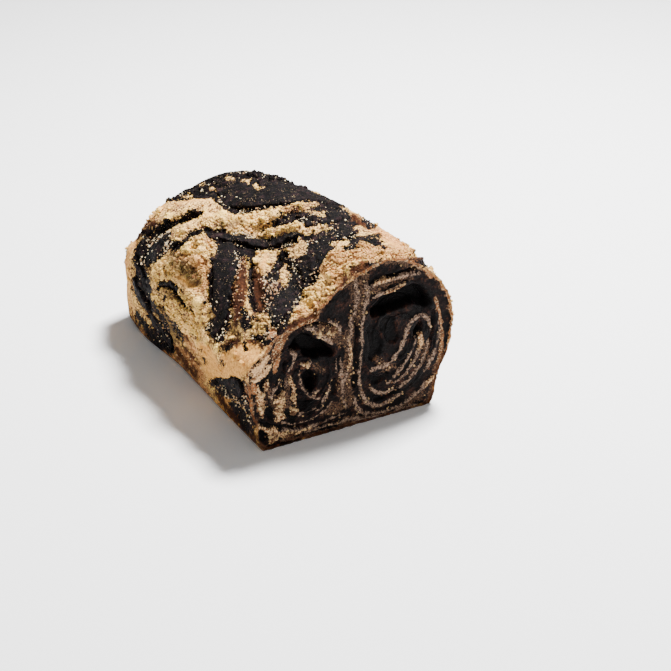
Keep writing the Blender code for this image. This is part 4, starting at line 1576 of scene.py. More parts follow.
# Strips on the left half of the cut face, as the picture shows them: pixel x, pixel y, half width
LEFT_FACE: dict[FaceTone, tuple[Rows, ...]] = {
    FaceTone.LIGHT: (
        ((258, 389, 2), (261, 398, 3), (262, 408, 3), (262.5, 417, 1.5)),
        ((255, 372, 5), (262, 366, 5), (266, 358, 3.5)), ((256, 380, 4), (264, 375, 4), (269, 368, 3)),
        ((283, 393, 3), (281, 398, 3.5), (278, 402, 4)),
        ((281, 403, 3.5), (281, 408, 5), (279, 412, 4)),
        ((284, 417, 2.5), (279, 420, 2), (275, 421.5, 1)),
        ((293, 409, 2), (294, 412, 3)),
        ((291, 379, 1), (293, 386, 2), (294, 394, 2), (295, 402, 2), (297, 405, 1)),
        ((268, 381, 1), (267, 386, 2), (266, 392, 1.5)),
        ((254, 421, 1.2), (258, 426, 1.5), (264, 430, 2), (270, 433, 3), (274, 438, 3.5), (272, 442, 3)),
        ((272, 429, 2), (277, 431, 2.5), (279, 436, 2)),
        ((281, 434, 2), (286, 437, 2.5), (292, 434, 2), (299, 432, 1.5), (306, 430, 1), (313, 428, 0.8)),
    ),
    FaceTone.GREY: (
        ((303, 332, 0.8), (309, 329, 1.6), (316, 331, 2.4), (322, 336, 3.2), (328, 341, 3), (332, 344, 1.8)),
        ((331, 322, 2), (338, 326, 2), (341, 333, 1.5)),
        ((300, 371, 0.9), (301, 380, 1), (303, 388, 1.1), (307, 392, 1.3), (309, 397, 1.3), (314, 398, 1.1),
         (319, 399, 1.1), (322, 396, 0.8)),
        ((290, 350, 0.8), (296, 356, 2), (293, 362, 2), (290, 370, 1)),
        ((331, 380, 0.9), (330, 388, 1.1), (327, 397, 1.4), (324, 404, 1.7), (322, 409, 1.6),
         (317, 411, 0.9)),
        ((320, 391, 0.8), (315, 393, 1), (311, 390, 0.8)),
        ((288, 382, 0.9), (285, 390, 1.1), (281, 396, 0.9)),
        ((281, 381, 1), (277, 388, 1.3), (273, 395, 1.6), (271, 399, 1.1)),
        ((300, 415, 0.8), (309, 412, 1), (317, 408, 0.8)),
        ((302, 423, 0.8), (311, 419.5, 1), (319, 415, 1), (326, 410, 0.9), (332, 402, 0.9)),
        ((283, 423, 0.7), (292, 425, 1.2), (296, 424, 0.7)),
        ((296, 434, 0.8), (310, 431, 1), (325, 427, 1.1), (345, 422, 1.2)),
        ((282, 431.5, 0.9), (300, 430, 0.9), (315, 426, 1), (330, 420, 1), (346, 413, 1.1)),
        ((341, 358, 1.2), (342, 370, 1.5), (343, 382, 1.5), (344, 396, 1.5), (346, 408, 1.5)),
        ((337, 360, 0.9), (337, 372, 0.9)),
        ((303, 365, 2.2), (308, 365, 2.5), (312, 363, 1)),
    ),
    FaceTone.CRUMB: (
        ((322, 327, 3), (329, 331, 5), (337, 335, 6), (341, 342, 5)),
        ((325, 412, 4), (336, 410, 6), (345, 405, 5), (350, 390, 4), (352, 370, 4), (350, 350, 4)),
        ((268, 388, 3), (272, 398, 5), (276, 408, 5), (282, 414, 5)),
        ((288, 380, 3), (286, 395, 4), (290, 405, 4)),
        ((318, 365, 3), (322, 372, 4)),
        ((285, 440, 3), (310, 436, 3), (335, 430, 3), (350, 424, 3)),
    ),
    FaceTone.RUST: (
        ((276, 374, 2), (277, 365, 3.5), (277, 355, 4.5), (280, 346, 4.5), (284, 338, 4.5), (290, 330, 4),
         (299, 325, 3), (312, 320, 2)),
        ((254, 386, 3), (256, 393, 3)),
        ((290, 441, 2.5), (310, 437, 2), (330, 431, 2), (350, 426, 2)),
        ((258, 441, 2.5), (262, 447, 2.5), (268, 449, 2)),
        ((256, 388, 1.2), (258, 398, 1.2), (259, 412, 1.4)),
    ),
    FaceTone.DEEP: (
        ((294, 348, 5), (303, 342, 9), (312, 349, 10), (323, 350, 8), (331, 353, 5)),
        ((309, 376, 6), (311, 381, 8), (312, 386, 6)),
    ),
    FaceTone.SHALLOW: (
        ((264, 383, 2), (263, 388, 1.5)),
        ((270, 411, 4.5), (272, 417, 4)),
        ((256, 421, 1.2), (262, 424, 2), (268, 425, 2), (276, 427, 2), (292, 428, 2.2), (306, 425, 1.6)),
        ((262, 433, 3), (266, 437, 3.5), (262, 441, 3)),
        ((304, 328, 0.8), (311, 325, 1.2), (320, 323.5, 1.6), (328, 325, 1.2)),
        ((286, 362, 1.5), (284, 372, 1.5)),
        ((336, 383, 4), (335, 393, 3)),
        ((300, 404, 3), (306, 402, 5), (302, 410, 3)),
        ((284, 386, 1), (287, 391, 1)),
    ),
}

# Strips on the right half, in pixels of a drawing that is set down by the rule of CutPattern
RIGHT_FACE: dict[FaceTone, tuple[Rows, ...]] = {
    FaceTone.LIGHT: (
        ((502, 321, 1.2), (508, 318, 1.6), (516, 316, 1.2)),
        ((511, 328, 1), (518, 325, 1.4), (526, 320, 1.2)),
        ((483, 372, 1), (484, 384, 1.5), (481, 396, 1)),
        ((541, 362, 1.8), (542, 368, 2), (540, 374, 1)),
        ((547, 407, 1.5), (551, 402, 2.2), (555, 398, 1.5)),
    ),
    FaceTone.GREY: (
        ((487, 318, 1.5), (489, 332, 2), (487, 348, 1.5)),
        ((496, 322, 2), (497, 334, 2), (494, 346, 1.5)),
        ((484, 352, 1.6), (484, 362, 1.8), (483, 375, 2), (484, 386, 2), (481, 397, 1.7), (479, 407, 1.3)),
        ((500, 323, 2), (507, 319, 2.4), (515, 316.5, 1.8), (523, 314, 1.8), (532, 311.5, 1.6),
         (539, 310, 1)),
        ((502, 333, 1.3), (509, 329, 1.7), (517, 325, 1.9), (525, 320.5, 1.7), (531, 316, 0.9)),
        ((494, 350, 1.5), (493, 362, 1.5), (493, 376, 1.5), (492, 390, 1.4), (491, 404, 1.4), (493, 416, 1.7),
         (498, 424, 2), (506, 427, 2), (514, 424, 1.8), (521, 420, 1.5), (526, 415, 1)),
        ((551, 358, 1), (547, 348, 1.6), (541, 345, 2), (535, 349, 2), (531, 357, 1.8), (528, 367, 1.6),
         (524, 377, 1.8), (517, 387, 1.9), (509, 392, 1.9), (502, 394, 2.2)),
        ((538, 365, 1), (535, 375, 1.2), (530, 385, 1.4), (524, 395, 1.7), (519, 402, 1.5), (515, 406, 1)),
        ((541, 374, 1.6), (538, 382, 1.6), (533, 391, 1.4), (528, 399, 1.3), (521, 405, 1)),
        ((548, 366, 0.9), (546, 378, 1.3), (541, 390, 1.4), (535, 400, 1.3), (528, 408, 1.3), (520, 412, 1.4),
         (512, 415, 1.5), (505, 415, 1.7), (501, 411, 1)),
        ((556, 348, 0.9), (557, 360, 1.3), (554, 374, 1.5), (550, 385, 1.7), (546, 394, 1.3)),
        ((497, 434, 1), (510, 433, 1.3), (522, 428, 1.3), (533, 421, 1.4), (541, 413, 1.9), (547, 405, 2)),
        ((487, 420, 1.5), (490, 430, 1.5), (497, 436, 1.3)),
        ((480, 440, 1.5), (500, 438, 1.5), (520, 433, 1.5), (540, 425, 1.3)),
        ((500, 300, 1), (515, 299, 1.5), (530, 300, 1.2), (543, 306, 1.2)),
    ),
    FaceTone.CRUMB: (
        ((489, 300, 5), (491, 320, 8), (490, 345, 5), (484, 365, 4), (483, 385, 5), (480, 405, 6),
         (482, 425, 7)),
        ((500, 328, 4), (515, 320, 4), (532, 313, 3)),
        ((505, 385, 3), (512, 392, 4), (520, 392, 3)),
        ((545, 372, 4), (549, 384, 4)),
        ((480, 440, 3), (505, 437, 3), (530, 428, 3), (545, 415, 3)),
        ((500, 303, 3), (520, 301, 3), (538, 304, 3)),
    ),
    FaceTone.RUST: (
        ((488, 297, 2), (505, 293, 2), (522, 294, 2), (538, 300, 2), (549, 312, 2)),
        ((553, 330, 1.5), (559, 350, 1.5), (560, 372, 1.8), (556, 392, 2)),
        ((480, 446, 2), (505, 443, 2), (530, 435, 2), (548, 425, 2)),
    ),
    FaceTone.DEEP: (
        ((504, 345, 5), (512, 338, 8), (524, 332, 9), (536, 327, 8), (545, 333, 5)),
        ((541, 353, 2.5), (539, 358, 3.5), (537, 365, 1.5)),
    ),
    FaceTone.SHALLOW: (
        ((500, 360, 4), (505, 372, 6), (502, 384, 4)),
        ((514, 355, 7), (519, 366, 5)),
        ((508, 316, 1), (517, 312.5, 1.5), (527, 309, 1.8), (536, 305, 1.5)),
        ((488.5, 352, 1.5), (488.5, 370, 1.6), (488, 390, 1.8), (487, 410, 2)),
        ((500, 402, 2), (506, 404, 3.5), (514, 399, 2.5)),
        ((552, 340, 1.5), (552, 352, 1.8), (550, 366, 1.5)),
        ((505, 421, 2), (514, 418, 2), (524, 412, 1.5)),
    ),
}


@dataclass(frozen=True)
class CutPattern:
    """Finds the layers, cavities and crumbs of the cut face at any x and z of it."""

    # How the drawing of the right half is set down: a corner in pixels, the seam in pixels and
    # metres, metres for a pixel across, the slant, and pixels for a mm up
    corner: tuple[float, float] = (388.0, 478.0)
    seam: tuple[float, float] = (492.0, 0.0075)
    across: float = 0.000765
    slant: float = 0.3376
    up: float = 1.41
    px_per_mm: float = 1.72
    path_step: float = 2.5
    reach_mm: float = 6.0
    # Relief in metres
    set_back: float = 0.0011
    deep: float = 0.0066
    shallow: float = 0.0016
    light: float = 0.0009
    grey: float = 0.0007
    knots: Bumps = Bumps(0.0024, 1.0, 3, 71.0)
    knot_height: float = 0.0004
    crumb_height: float = 0.0003
    swell: Bumps = Bumps(0.011, 0.0006, 2, 73.0)
    shifts: tuple[Bumps, Bumps] = (Bumps(0.0045, 0.55, 2, 61.0), Bumps(0.0045, 0.55, 2, 67.0))

    def drawn(self, rows: Rows, right: bool) -> Array:
        """Set a drawn strip down on the cut face.

        Args:
            rows: pixel x, pixel y and half width.
            right: whether it is of the right half's drawing.

        Returns:
            x, z and half width in mm.
        """
        table = np.array(rows, dtype=float)
        if right:
            x = (self.seam[1] + (table[:, 0] - self.seam[0]) * self.across) * 1000
            z = (self.corner[1] - self.slant * (table[:, 0] - self.corner[0]) - table[:, 1]) / self.up
            return np.stack([x, z, table[:, 2] / self.up], axis=-1)
        spots = np.array([CAMERA.on_cut(row[0], row[1]) for row in rows]) * 1000
        return np.stack([spots[:, 0], spots[:, 1], table[:, 2] / self.px_per_mm], axis=-1)

    def read(self, x: Array, z: Array) -> Marks:
        """Find what the cut shows at some spots.

        Args:
            x: metres across the face.
            z: metres up the face.

        Returns:
            For each tone the depth inside it in mm; as "hole_shade" how much it is a cavity, from 0 to
            1, for painted shade there; and as "set_back" how far the face lies behind the cut in metres.
        """
        points = np.stack([x, 0 * x, z], axis=-1)
        shift = [layer.read(points) for layer in self.shifts]
        across, height = x * 1000 + shift[0], z * 1000 + shift[1]
        found: Marks = {}
        for kind in FaceTone:
            best = np.full(x.shape, -self.reach_mm)
            for right, table in ((False, LEFT_FACE), (True, RIGHT_FACE)):
                for rows in table[kind]:
                    strip = self.drawn(rows, right)
                    best = np.maximum(best, depth_inside(across, height, strip, self.path_step))
            found[kind.value] = best
        back = self.set_back + self.deep * rise(found["deep"], -0.6, 2.6)
        back += self.shallow * rise(found["shallow"], -0.5, 1)
        back -= self.light * rise(found["light"], -0.6, 0.8) + self.grey * rise(found["grey"], -0.4, 0.5)
        knotty = self.knot_height + self.crumb_height * rise(found["crumb"], -1, 1)
        found["set_back"] = back + (knotty * self.knots.read(points) + self.swell.read(points))
        # How much a spot is a cavity or gap, for the painted shade there
        hole_shade = np.maximum(rise(found["deep"], -0.2, 2.0), 0.75 * rise(found["shallow"], -0.2, 1.0))
        found["hole_shade"] = hole_shade * (1 - rise(found["light"], -0.2, 0.5))
        return found


PATTERN = CutPattern()
ON_CUT = ("light", "grey", "crumb", "rust", "hole_shade")


@dataclass(frozen=True)
class CoilForm:
    """A coil of rolled-in chocolate, with the sizes of the part's source.

    The front and the back give x, z and scale of its middle at the cut and at its far end. The
    outer and the inner reach are given sideways and up, and the start in degrees.
    """

    name: str
    front: tuple[float, float, float]
    back: tuple[float, float, float]
    outer: tuple[float, float]
    inner: tuple[float, float]
    start: float
    turns: float
    sense: int
    thick_outer: float = 0.0048
    thick_inner: float = 0.0032
    tangent_step: float = 1e-4
    back_y: float = 0.060
    steps_a_turn: int = 110
    wander: Bumps = Bumps(0.004, 1.0, 3, 5.0)
    wander_width: tuple[float, float] = (0.9, 0.3)
    wander_depth: float = 0.0005
    least_set_back: float = 0.0009
    proud: float = 0.0003
    # How much fainter than the face the coil shows grey and crumb, in mm
    fainter: float = 1.2
    # Places round the strip's section: depth behind the cut from 0 to 1, and side from -1 to 1
    section: Rows = (
        (1.0, -1.0), (0.4, -1.0), (0.06, -1.0), (0.008, -1.0), (0.0, -0.93), (0.0, -0.6), (0.0, -0.3),
        (0.0, 0.0), (0.0, 0.3), (0.0, 0.6), (0.0, 0.93), (0.008, 1.0), (0.06, 1.0), (0.4, 1.0),
        (1.0, 1.0), (1.0, 0.0),
    )

    def line(self, t: Array, centre: tuple[float, float, float]) -> tuple[Array, Array, Array]:
        """Follow the middle line of the rolled strip.

        Args:
            t: share of the way from the outside in.
            centre: x and z of the coil's middle, and its scale.

        Returns:
            x and z of the line, its sideways direction and the strip's half width.
        """
        def spot(share: Array) -> Array:
            """Find the middle line.

            Args:
                share: share of the way from the outside in.

            Returns:
                x and z.
            """
            angle = math.radians(self.start) + self.sense * self.turns * 2 * math.pi * share
            reach_x = (self.outer[0] + (self.inner[0] - self.outer[0]) * share) * centre[2]
            reach_z = (self.outer[1] + (self.inner[1] - self.outer[1]) * share) * centre[2]
            return np.stack([centre[0] + reach_x * np.cos(angle), centre[1] + reach_z * np.sin(angle)],
                            axis=-1)

        tangent = spot(t + self.tangent_step) - spot(t - self.tangent_step)
        tangent /= np.linalg.norm(tangent, axis=-1)[:, None]
        sideways = np.stack([-tangent[:, 1], tangent[:, 0]], axis=-1)
        half = (self.thick_outer + (self.thick_inner - self.thick_outer) * t) / 2 * centre[2]
        return spot(t), sideways, half

    def build(self, material: bpy.types.Material) -> None:
        """Build the strip from the cut face back into the loaf.

        Args:
            material: its finish.
        """
        rows = int(self.turns * self.steps_a_turn)
        shares = np.array(self.section)

        def place(column: Array, row: Array) -> tuple[Array, Marks]:
            """Place the strip's vertices.

            Args:
                column: place round the section.
                row: place along the roll.

            Returns:
                Points and marks.
            """
            t = row / rows
            depth, side = shares[column].T
            near, sideways, half = self.line(t, self.front)
            far, far_sideways, far_half = self.line(t, self.back)
            wander = self.wander.read(np.stack([near[:, 0], near[:, 1], side * self.wander.size], axis=-1))
            wide, wider = self.wander_width
            front = near + sideways * (half * side * (wide + wider * wander))[:, None]
            rear = far + far_sideways * (far_half * side)[:, None]
            marks = PATTERN.read(front[:, 0], front[:, 1])
            y_front = FORM.cut_y + np.maximum(marks["set_back"], self.least_set_back) - self.proud
            y_front += self.wander_depth * wander * (depth == 0)
            y = y_front + (self.back_y - y_front) * depth
            xz = front + (rear - front) * ((y - FORM.cut_y) / (self.back_y - FORM.cut_y))[:, None]
            values = {label: marks[label] for label in ON_CUT}
            for label in ("grey", "crumb"):
                values[label] = values[label] - self.fainter
            return np.stack([xz[:, 0], y, xz[:, 1]], axis=-1), values

        name = self.name.replace("filling_", "rolled_")
        piece = sheet_mesh(name, len(self.section), rows, place, True, True)
        fit_out(piece, material, "rolled_chocolate", self.name)


LEFT_COIL = CoilForm("filling_coil_left", front=(-0.027, 0.038, 1.0), back=(-0.029, 0.046, 0.9),
                     outer=(0.023, 0.026), inner=(0.0045, 0.0055), start=-55, turns=2.6, sense=-1)
RIGHT_COIL = CoilForm("filling_coil_right", front=(0.031, 0.049, 1.0), back=(0.024, 0.050, 0.85),
                      outer=(0.027, 0.036), inner=(0.0055, 0.0080), start=-120, turns=2.9, sense=1)


@dataclass(frozen=True)
class Crust:
    """The baked body of the loaf, one closed skin with a sunk end behind the cut face."""

    columns: int = 272
    base_columns: int = 74
    cap_rows: int = 8
    body_rows: int = 200
    end_rows: int = 80
    tried_runs: int = 400
    tried_power: float = 5.0
    base_corner: float = 132.0
    # Relief fades out over this height above the base
    flat_height: float = 0.001
    fade_height: float = 0.006
    ragged: Bumps = Bumps(0.0035, 0.0007, 3, 81.0)
    ragged_run: float = 0.002
    # The sunk end and the rim, from the middle out: inset and depth in metres, or for the first
    # three the inset as a share of the reach
    rings: Rows = ((1.0, 0.0125), (0.7, 0.0125), (0.35, 0.0125), (0.0022, 0.0125), (0.0020, 0.003),
                   (0.0014, 0.0004), (0.0008, -0.0001), (0.0003, 0.0001))
    share_rings: int = 3
    smooth_rings: int = 5

    def turns(self, column: Array) -> Array:
        """Work out the turn of columns; the base has fewer than the rest.

        Args:
            column: the columns.

        Returns:
            Radians round the long axis.
        """
        corner = math.radians(self.base_corner)
        upper = -corner + 2 * corner * column / self.columns
        lower = corner + 2 * (math.pi - corner) * (column - self.columns) / self.base_columns
        return np.where(column < self.columns, upper, lower)

    def runs(self, turn: Array, row: Array) -> Array:
        """Work out the run of crust rows, which lie evenly along each column of the far end.

        Args:
            turn: radians of each vertex.
            row: its row, counted from the rim of the cut.

        Returns:
            The run of each vertex in metres.
        """
        runs = FORM.cut_y + (FORM.end_start - FORM.cut_y) * row / self.body_rows
        spacing = 1 - np.linspace(1, 0, self.tried_runs) ** self.tried_power
        tried = FORM.end_start + FORM.end_run * spacing
        columns, owner = np.unique(turn, return_inverse=True)
        lines = FORM.point(*np.meshgrid(columns, tried, indexing="ij"))
        walked = np.cumsum(np.linalg.norm(np.diff(lines, axis=1, prepend=lines[:, :1]), axis=2), axis=1)
        for index, line in enumerate(walked):
            mine = np.flatnonzero((owner == index) & (row > self.body_rows))
            share = np.clip((row[mine] - self.body_rows) / self.end_rows, 0, 1)
            runs[mine] = np.interp(share * line[-1], line, tried)
        return runs

    def skin(self, turn: Array, run: Array) -> tuple[Array, Marks]:
        """Find points of the crust with its relief.

        Args:
            turn: radians round the long axis.
            run: metres along the crust.

        Returns:
            The points and their markings.
        """
        bare = FORM.point(turn, run)
        marks = MARKINGS.read(turn, run)
        out, marks["sunk"] = RELIEF.read(bare, marks)
        out = out * np.clip((bare[:, 2] - self.flat_height) / self.fade_height, 0, 1)
        return bare + FORM.normal(turn, run) * out[:, None], marks

    def place(self, column: Array, row: Array) -> tuple[Array, Marks]:
        """Place the skin's vertices.

        Args:
            column: columns round the loaf.
            row: rows from the middle of the cut to the middle of the far end.

        Returns:
            Points and marks.
        """
        turn = self.turns(column)
        run = self.runs(turn, np.maximum(row - self.cap_rows, 0))
        points, marks = self.skin(turn, run)
        axis = np.array([0.0, FORM.cut_y, FORM.axis_height])
        outward = points - axis
        outward[:, 1] = 0
        reach = np.linalg.norm(outward, axis=1)
        outward /= reach[:, None]
        ring = np.clip(row, 0, self.cap_rows - 1)
        inset, depth = np.array(self.rings)[ring].T
        inset = np.where(ring < self.share_rings, inset * reach, inset)
        cap = axis + outward * (reach - inset)[:, None]
        ragged = self.ragged.read(points)
        cap[:, 1] += depth + np.where(ring < self.smooth_rings, 0.0, ragged)
        on_cap = row < self.cap_rows
        edge = np.clip(1 - (run - FORM.cut_y) / self.ragged_run, 0, 1)
        points[:, 1] += ragged * edge
        points = np.where(on_cap[:, None], cap, points)
        last = row == self.cap_rows + self.body_rows + self.end_rows
        points = np.where(last[:, None], np.array([0.0, FORM.length / 2, FORM.axis_height]), points)
        points[:, 2] = np.maximum(points[:, 2], 0.0)
        values = {label: marks[label] for label in KEPT}
        values["rim"] = np.where(on_cap, 0.0, rim_mm(run))
        return points, values

    def build(self, material: bpy.types.Material) -> None:
        """Build the skin in place of the dough.

        Args:
            material: its finish.
        """
        rows = self.cap_rows + self.body_rows + self.end_rows
        piece = sheet_mesh("crust", self.columns + self.base_columns, rows, self.place)
        fit_out(piece, material, "baked_dough", "dough")


@dataclass(frozen=True)
class CutFace:
    """The cut through the loaf, a slab set into the crust's rim."""

    columns: int = 440
    front_rows: int = 192
    side_rows: int = 2
    back_rows: int = 4
    inset: float = 0.0008
    thick: float = 0.0110
    edge_back: float = 0.0004
    least_height: float = 0.0004
    patchy: Bumps = Bumps(0.010, 1.0, 2, 77.0)
    # Widths of the browned rim and of the crumb inside it, in mm
    rust_width: float = 0.9
    crumb_width: float = 1.6

    def place(self, column: Array, row: Array) -> tuple[Array, Marks]:
        """Place the slab's vertices.

        Args:
            column: columns round the slab.
            row: rows from the middle of its front to the middle of its back.

        Returns:
            Points and marks.
        """
        turns = np.arange(self.columns) / self.columns * 2 * math.pi - math.pi
        rim_points, _ = Crust().skin(turns, np.full(self.columns, FORM.cut_y))
        rise_z = rim_points[:, 2] - FORM.axis_height
        reach = np.hypot(rim_points[:, 0], rise_z) - self.inset
        share = np.where(row <= self.front_rows, row / self.front_rows, 1.0)
        behind = row - self.front_rows - self.side_rows
        share = np.where(behind > 0, 1 - behind / self.back_rows, share)
        radius = reach[column] * share
        x = radius * np.sin(turns[column])
        z = np.maximum(FORM.axis_height + radius * np.cos(turns[column]), self.least_height)
        marks = PATTERN.read(x, z)
        from_rim = (reach[column] - radius) * 1000
        open_face = rise(from_rim, 0.3, 1.8)
        back = self.edge_back + (marks["set_back"] - self.edge_back) * open_face
        deeper = np.clip(row - self.front_rows, 0, self.side_rows) / self.side_rows
        y = FORM.cut_y + back + (self.thick - back) * deeper
        points = np.stack([x, y, z], axis=-1)
        values = {label: marks[label] for label in ON_CUT}
        patchy = self.patchy.read(points)
        values["rust"] = np.maximum(values["rust"], self.rust_width + patchy - from_rim)
        values["crumb"] = np.maximum(values["crumb"], self.crumb_width + patchy * 3 - from_rim)
        values["hole_shade"] = values["hole_shade"] * (row <= self.front_rows) * open_face
        return points, values

    def build(self, material: bpy.types.Material) -> None:
        """Build the slab."""
        rows = self.front_rows + self.side_rows + self.back_rows
        fit_out(sheet_mesh("cut_face", self.columns, rows, self.place), material, "baked_dough")


@dataclass(frozen=True)
class SwirlPiece:
    """One strip of open chocolate laid into the crust."""

    name: str
    rows: Rows
    rough: float = 1.0
    lift: float = 0.0003
    depth: float = 0.0040
    step: float = 0.0008
    cell: float = 0.0008
    tip: float = 0.0008
    least_half: float = 0.0001
    border: float = 0.0030
    thin: float = 0.0004
    least_columns: int = 8
    least_height: float = 0.0003
    under_columns: int = 6

    def build(self, material: bpy.types.Material) -> None:
        """Build the strip: a wrinkled top with a sunk ragged border, and a plain underside.

        Args:
            material: its finish.
        """
        path = smooth_path(FORM.flat(self.rows), self.step)
        tangents = np.gradient(path[:, :2], axis=0)
        tangents /= np.linalg.norm(tangents, axis=1)[:, None]
        sides = np.stack([-tangents[:, 1], tangents[:, 0]], axis=1)
        steps = np.linalg.norm(np.diff(path[:, :2], axis=0), axis=1)
        lengths = np.concatenate([[0], np.cumsum(steps)])
        to_tip = np.minimum(lengths, lengths[-1] - lengths)
        narrowed = np.sqrt(np.clip(to_tip / np.maximum(path[:, 2], self.least_half), 0, 1))
        half = np.maximum(path[:, 2] * narrowed, self.tip)
        columns = max(self.least_columns, int(2 * path[:, 2].max() / self.cell))

        def place(column: Array, row: Array) -> tuple[Array, Marks]:
            """Place the strip's vertices.

            Args:
                column: columns over the top and back along the underside.
                row: rows from tip to tip.

            Returns:
                Points, and no marks.
            """
            on_top = column <= columns
            offset = np.where(on_top, -1 + 2 * column / columns,
                              1 - 2 * (column - columns) / self.under_columns)
            flat = path[row, :2] + sides[row] * (offset * half[row])[:, None]
            turn, run = flat[:, 0] / FORM.crust_reach, flat[:, 1]
            bare = FORM.point(turn, run)
            marks = MARKINGS.read(turn, run)
            edge = np.minimum((1 - np.abs(offset)) * half[row], to_tip[row]) * 1000
            open_top = rise(marks["cover"], -0.3, 0.9) * rise(edge, 0.1, 1.0)
            top = (self.border + self.lift + RELIEF.wrinkles(bare) * self.rough) * open_top - self.border
            lift = np.where(on_top, np.maximum(top, self.thin - self.depth), -self.depth)
            points = bare + FORM.normal(turn, run) * lift[:, None]
            points[:, 2] = np.maximum(points[:, 2], self.least_height)
            return points, {}

        name = self.name.replace("swirl_", "chocolate_")
        piece = sheet_mesh(name, columns + self.under_columns, len(path) - 1, place, True, True)
        fit_out(piece, material, "swirl_chocolate", self.name)


class Ground(Enum):
    """Where a kind of crumb lies."""

    CRUST = "crust"
    CHOCOLATE = "chocolate"


@dataclass(frozen=True)
class CrumbKind:
    """One kind of scattered crumb, with their largest number and their radii.

    The fineness counts the subdivisions of a crumb's ball. Its unevenness is given as the jitter
    and how deep it lies as the sink, both as shares of its radius.
    """

    name: str
    ground: Ground
    count: int
    radii: tuple[float, float]
    fineness: int
    jitter: float
    sink: float
    seed: int
    # Chance of it on chocolate
    on_dark: float = 0.003


LUMPS = CrumbKind("topping_lumps", Ground.CRUST, 170, (0.0013, 0.0024), 3, 0.5, 0.80, 5)
CRUMBS = CrumbKind("topping_crumbs", Ground.CRUST, 2350, (0.0006, 0.0014), 2, 0.5, 0.40, 6)
GRAINS = CrumbKind("topping_grains", Ground.CRUST, 9700, (0.00036, 0.00075), 1, 0.4, 0.15, 7, 0.035)
SUGAR = CrumbKind("sugar_grains", Ground.CHOCOLATE, 6400, (0.00028, 0.00066), 1, 0.4, 0.1, 8)


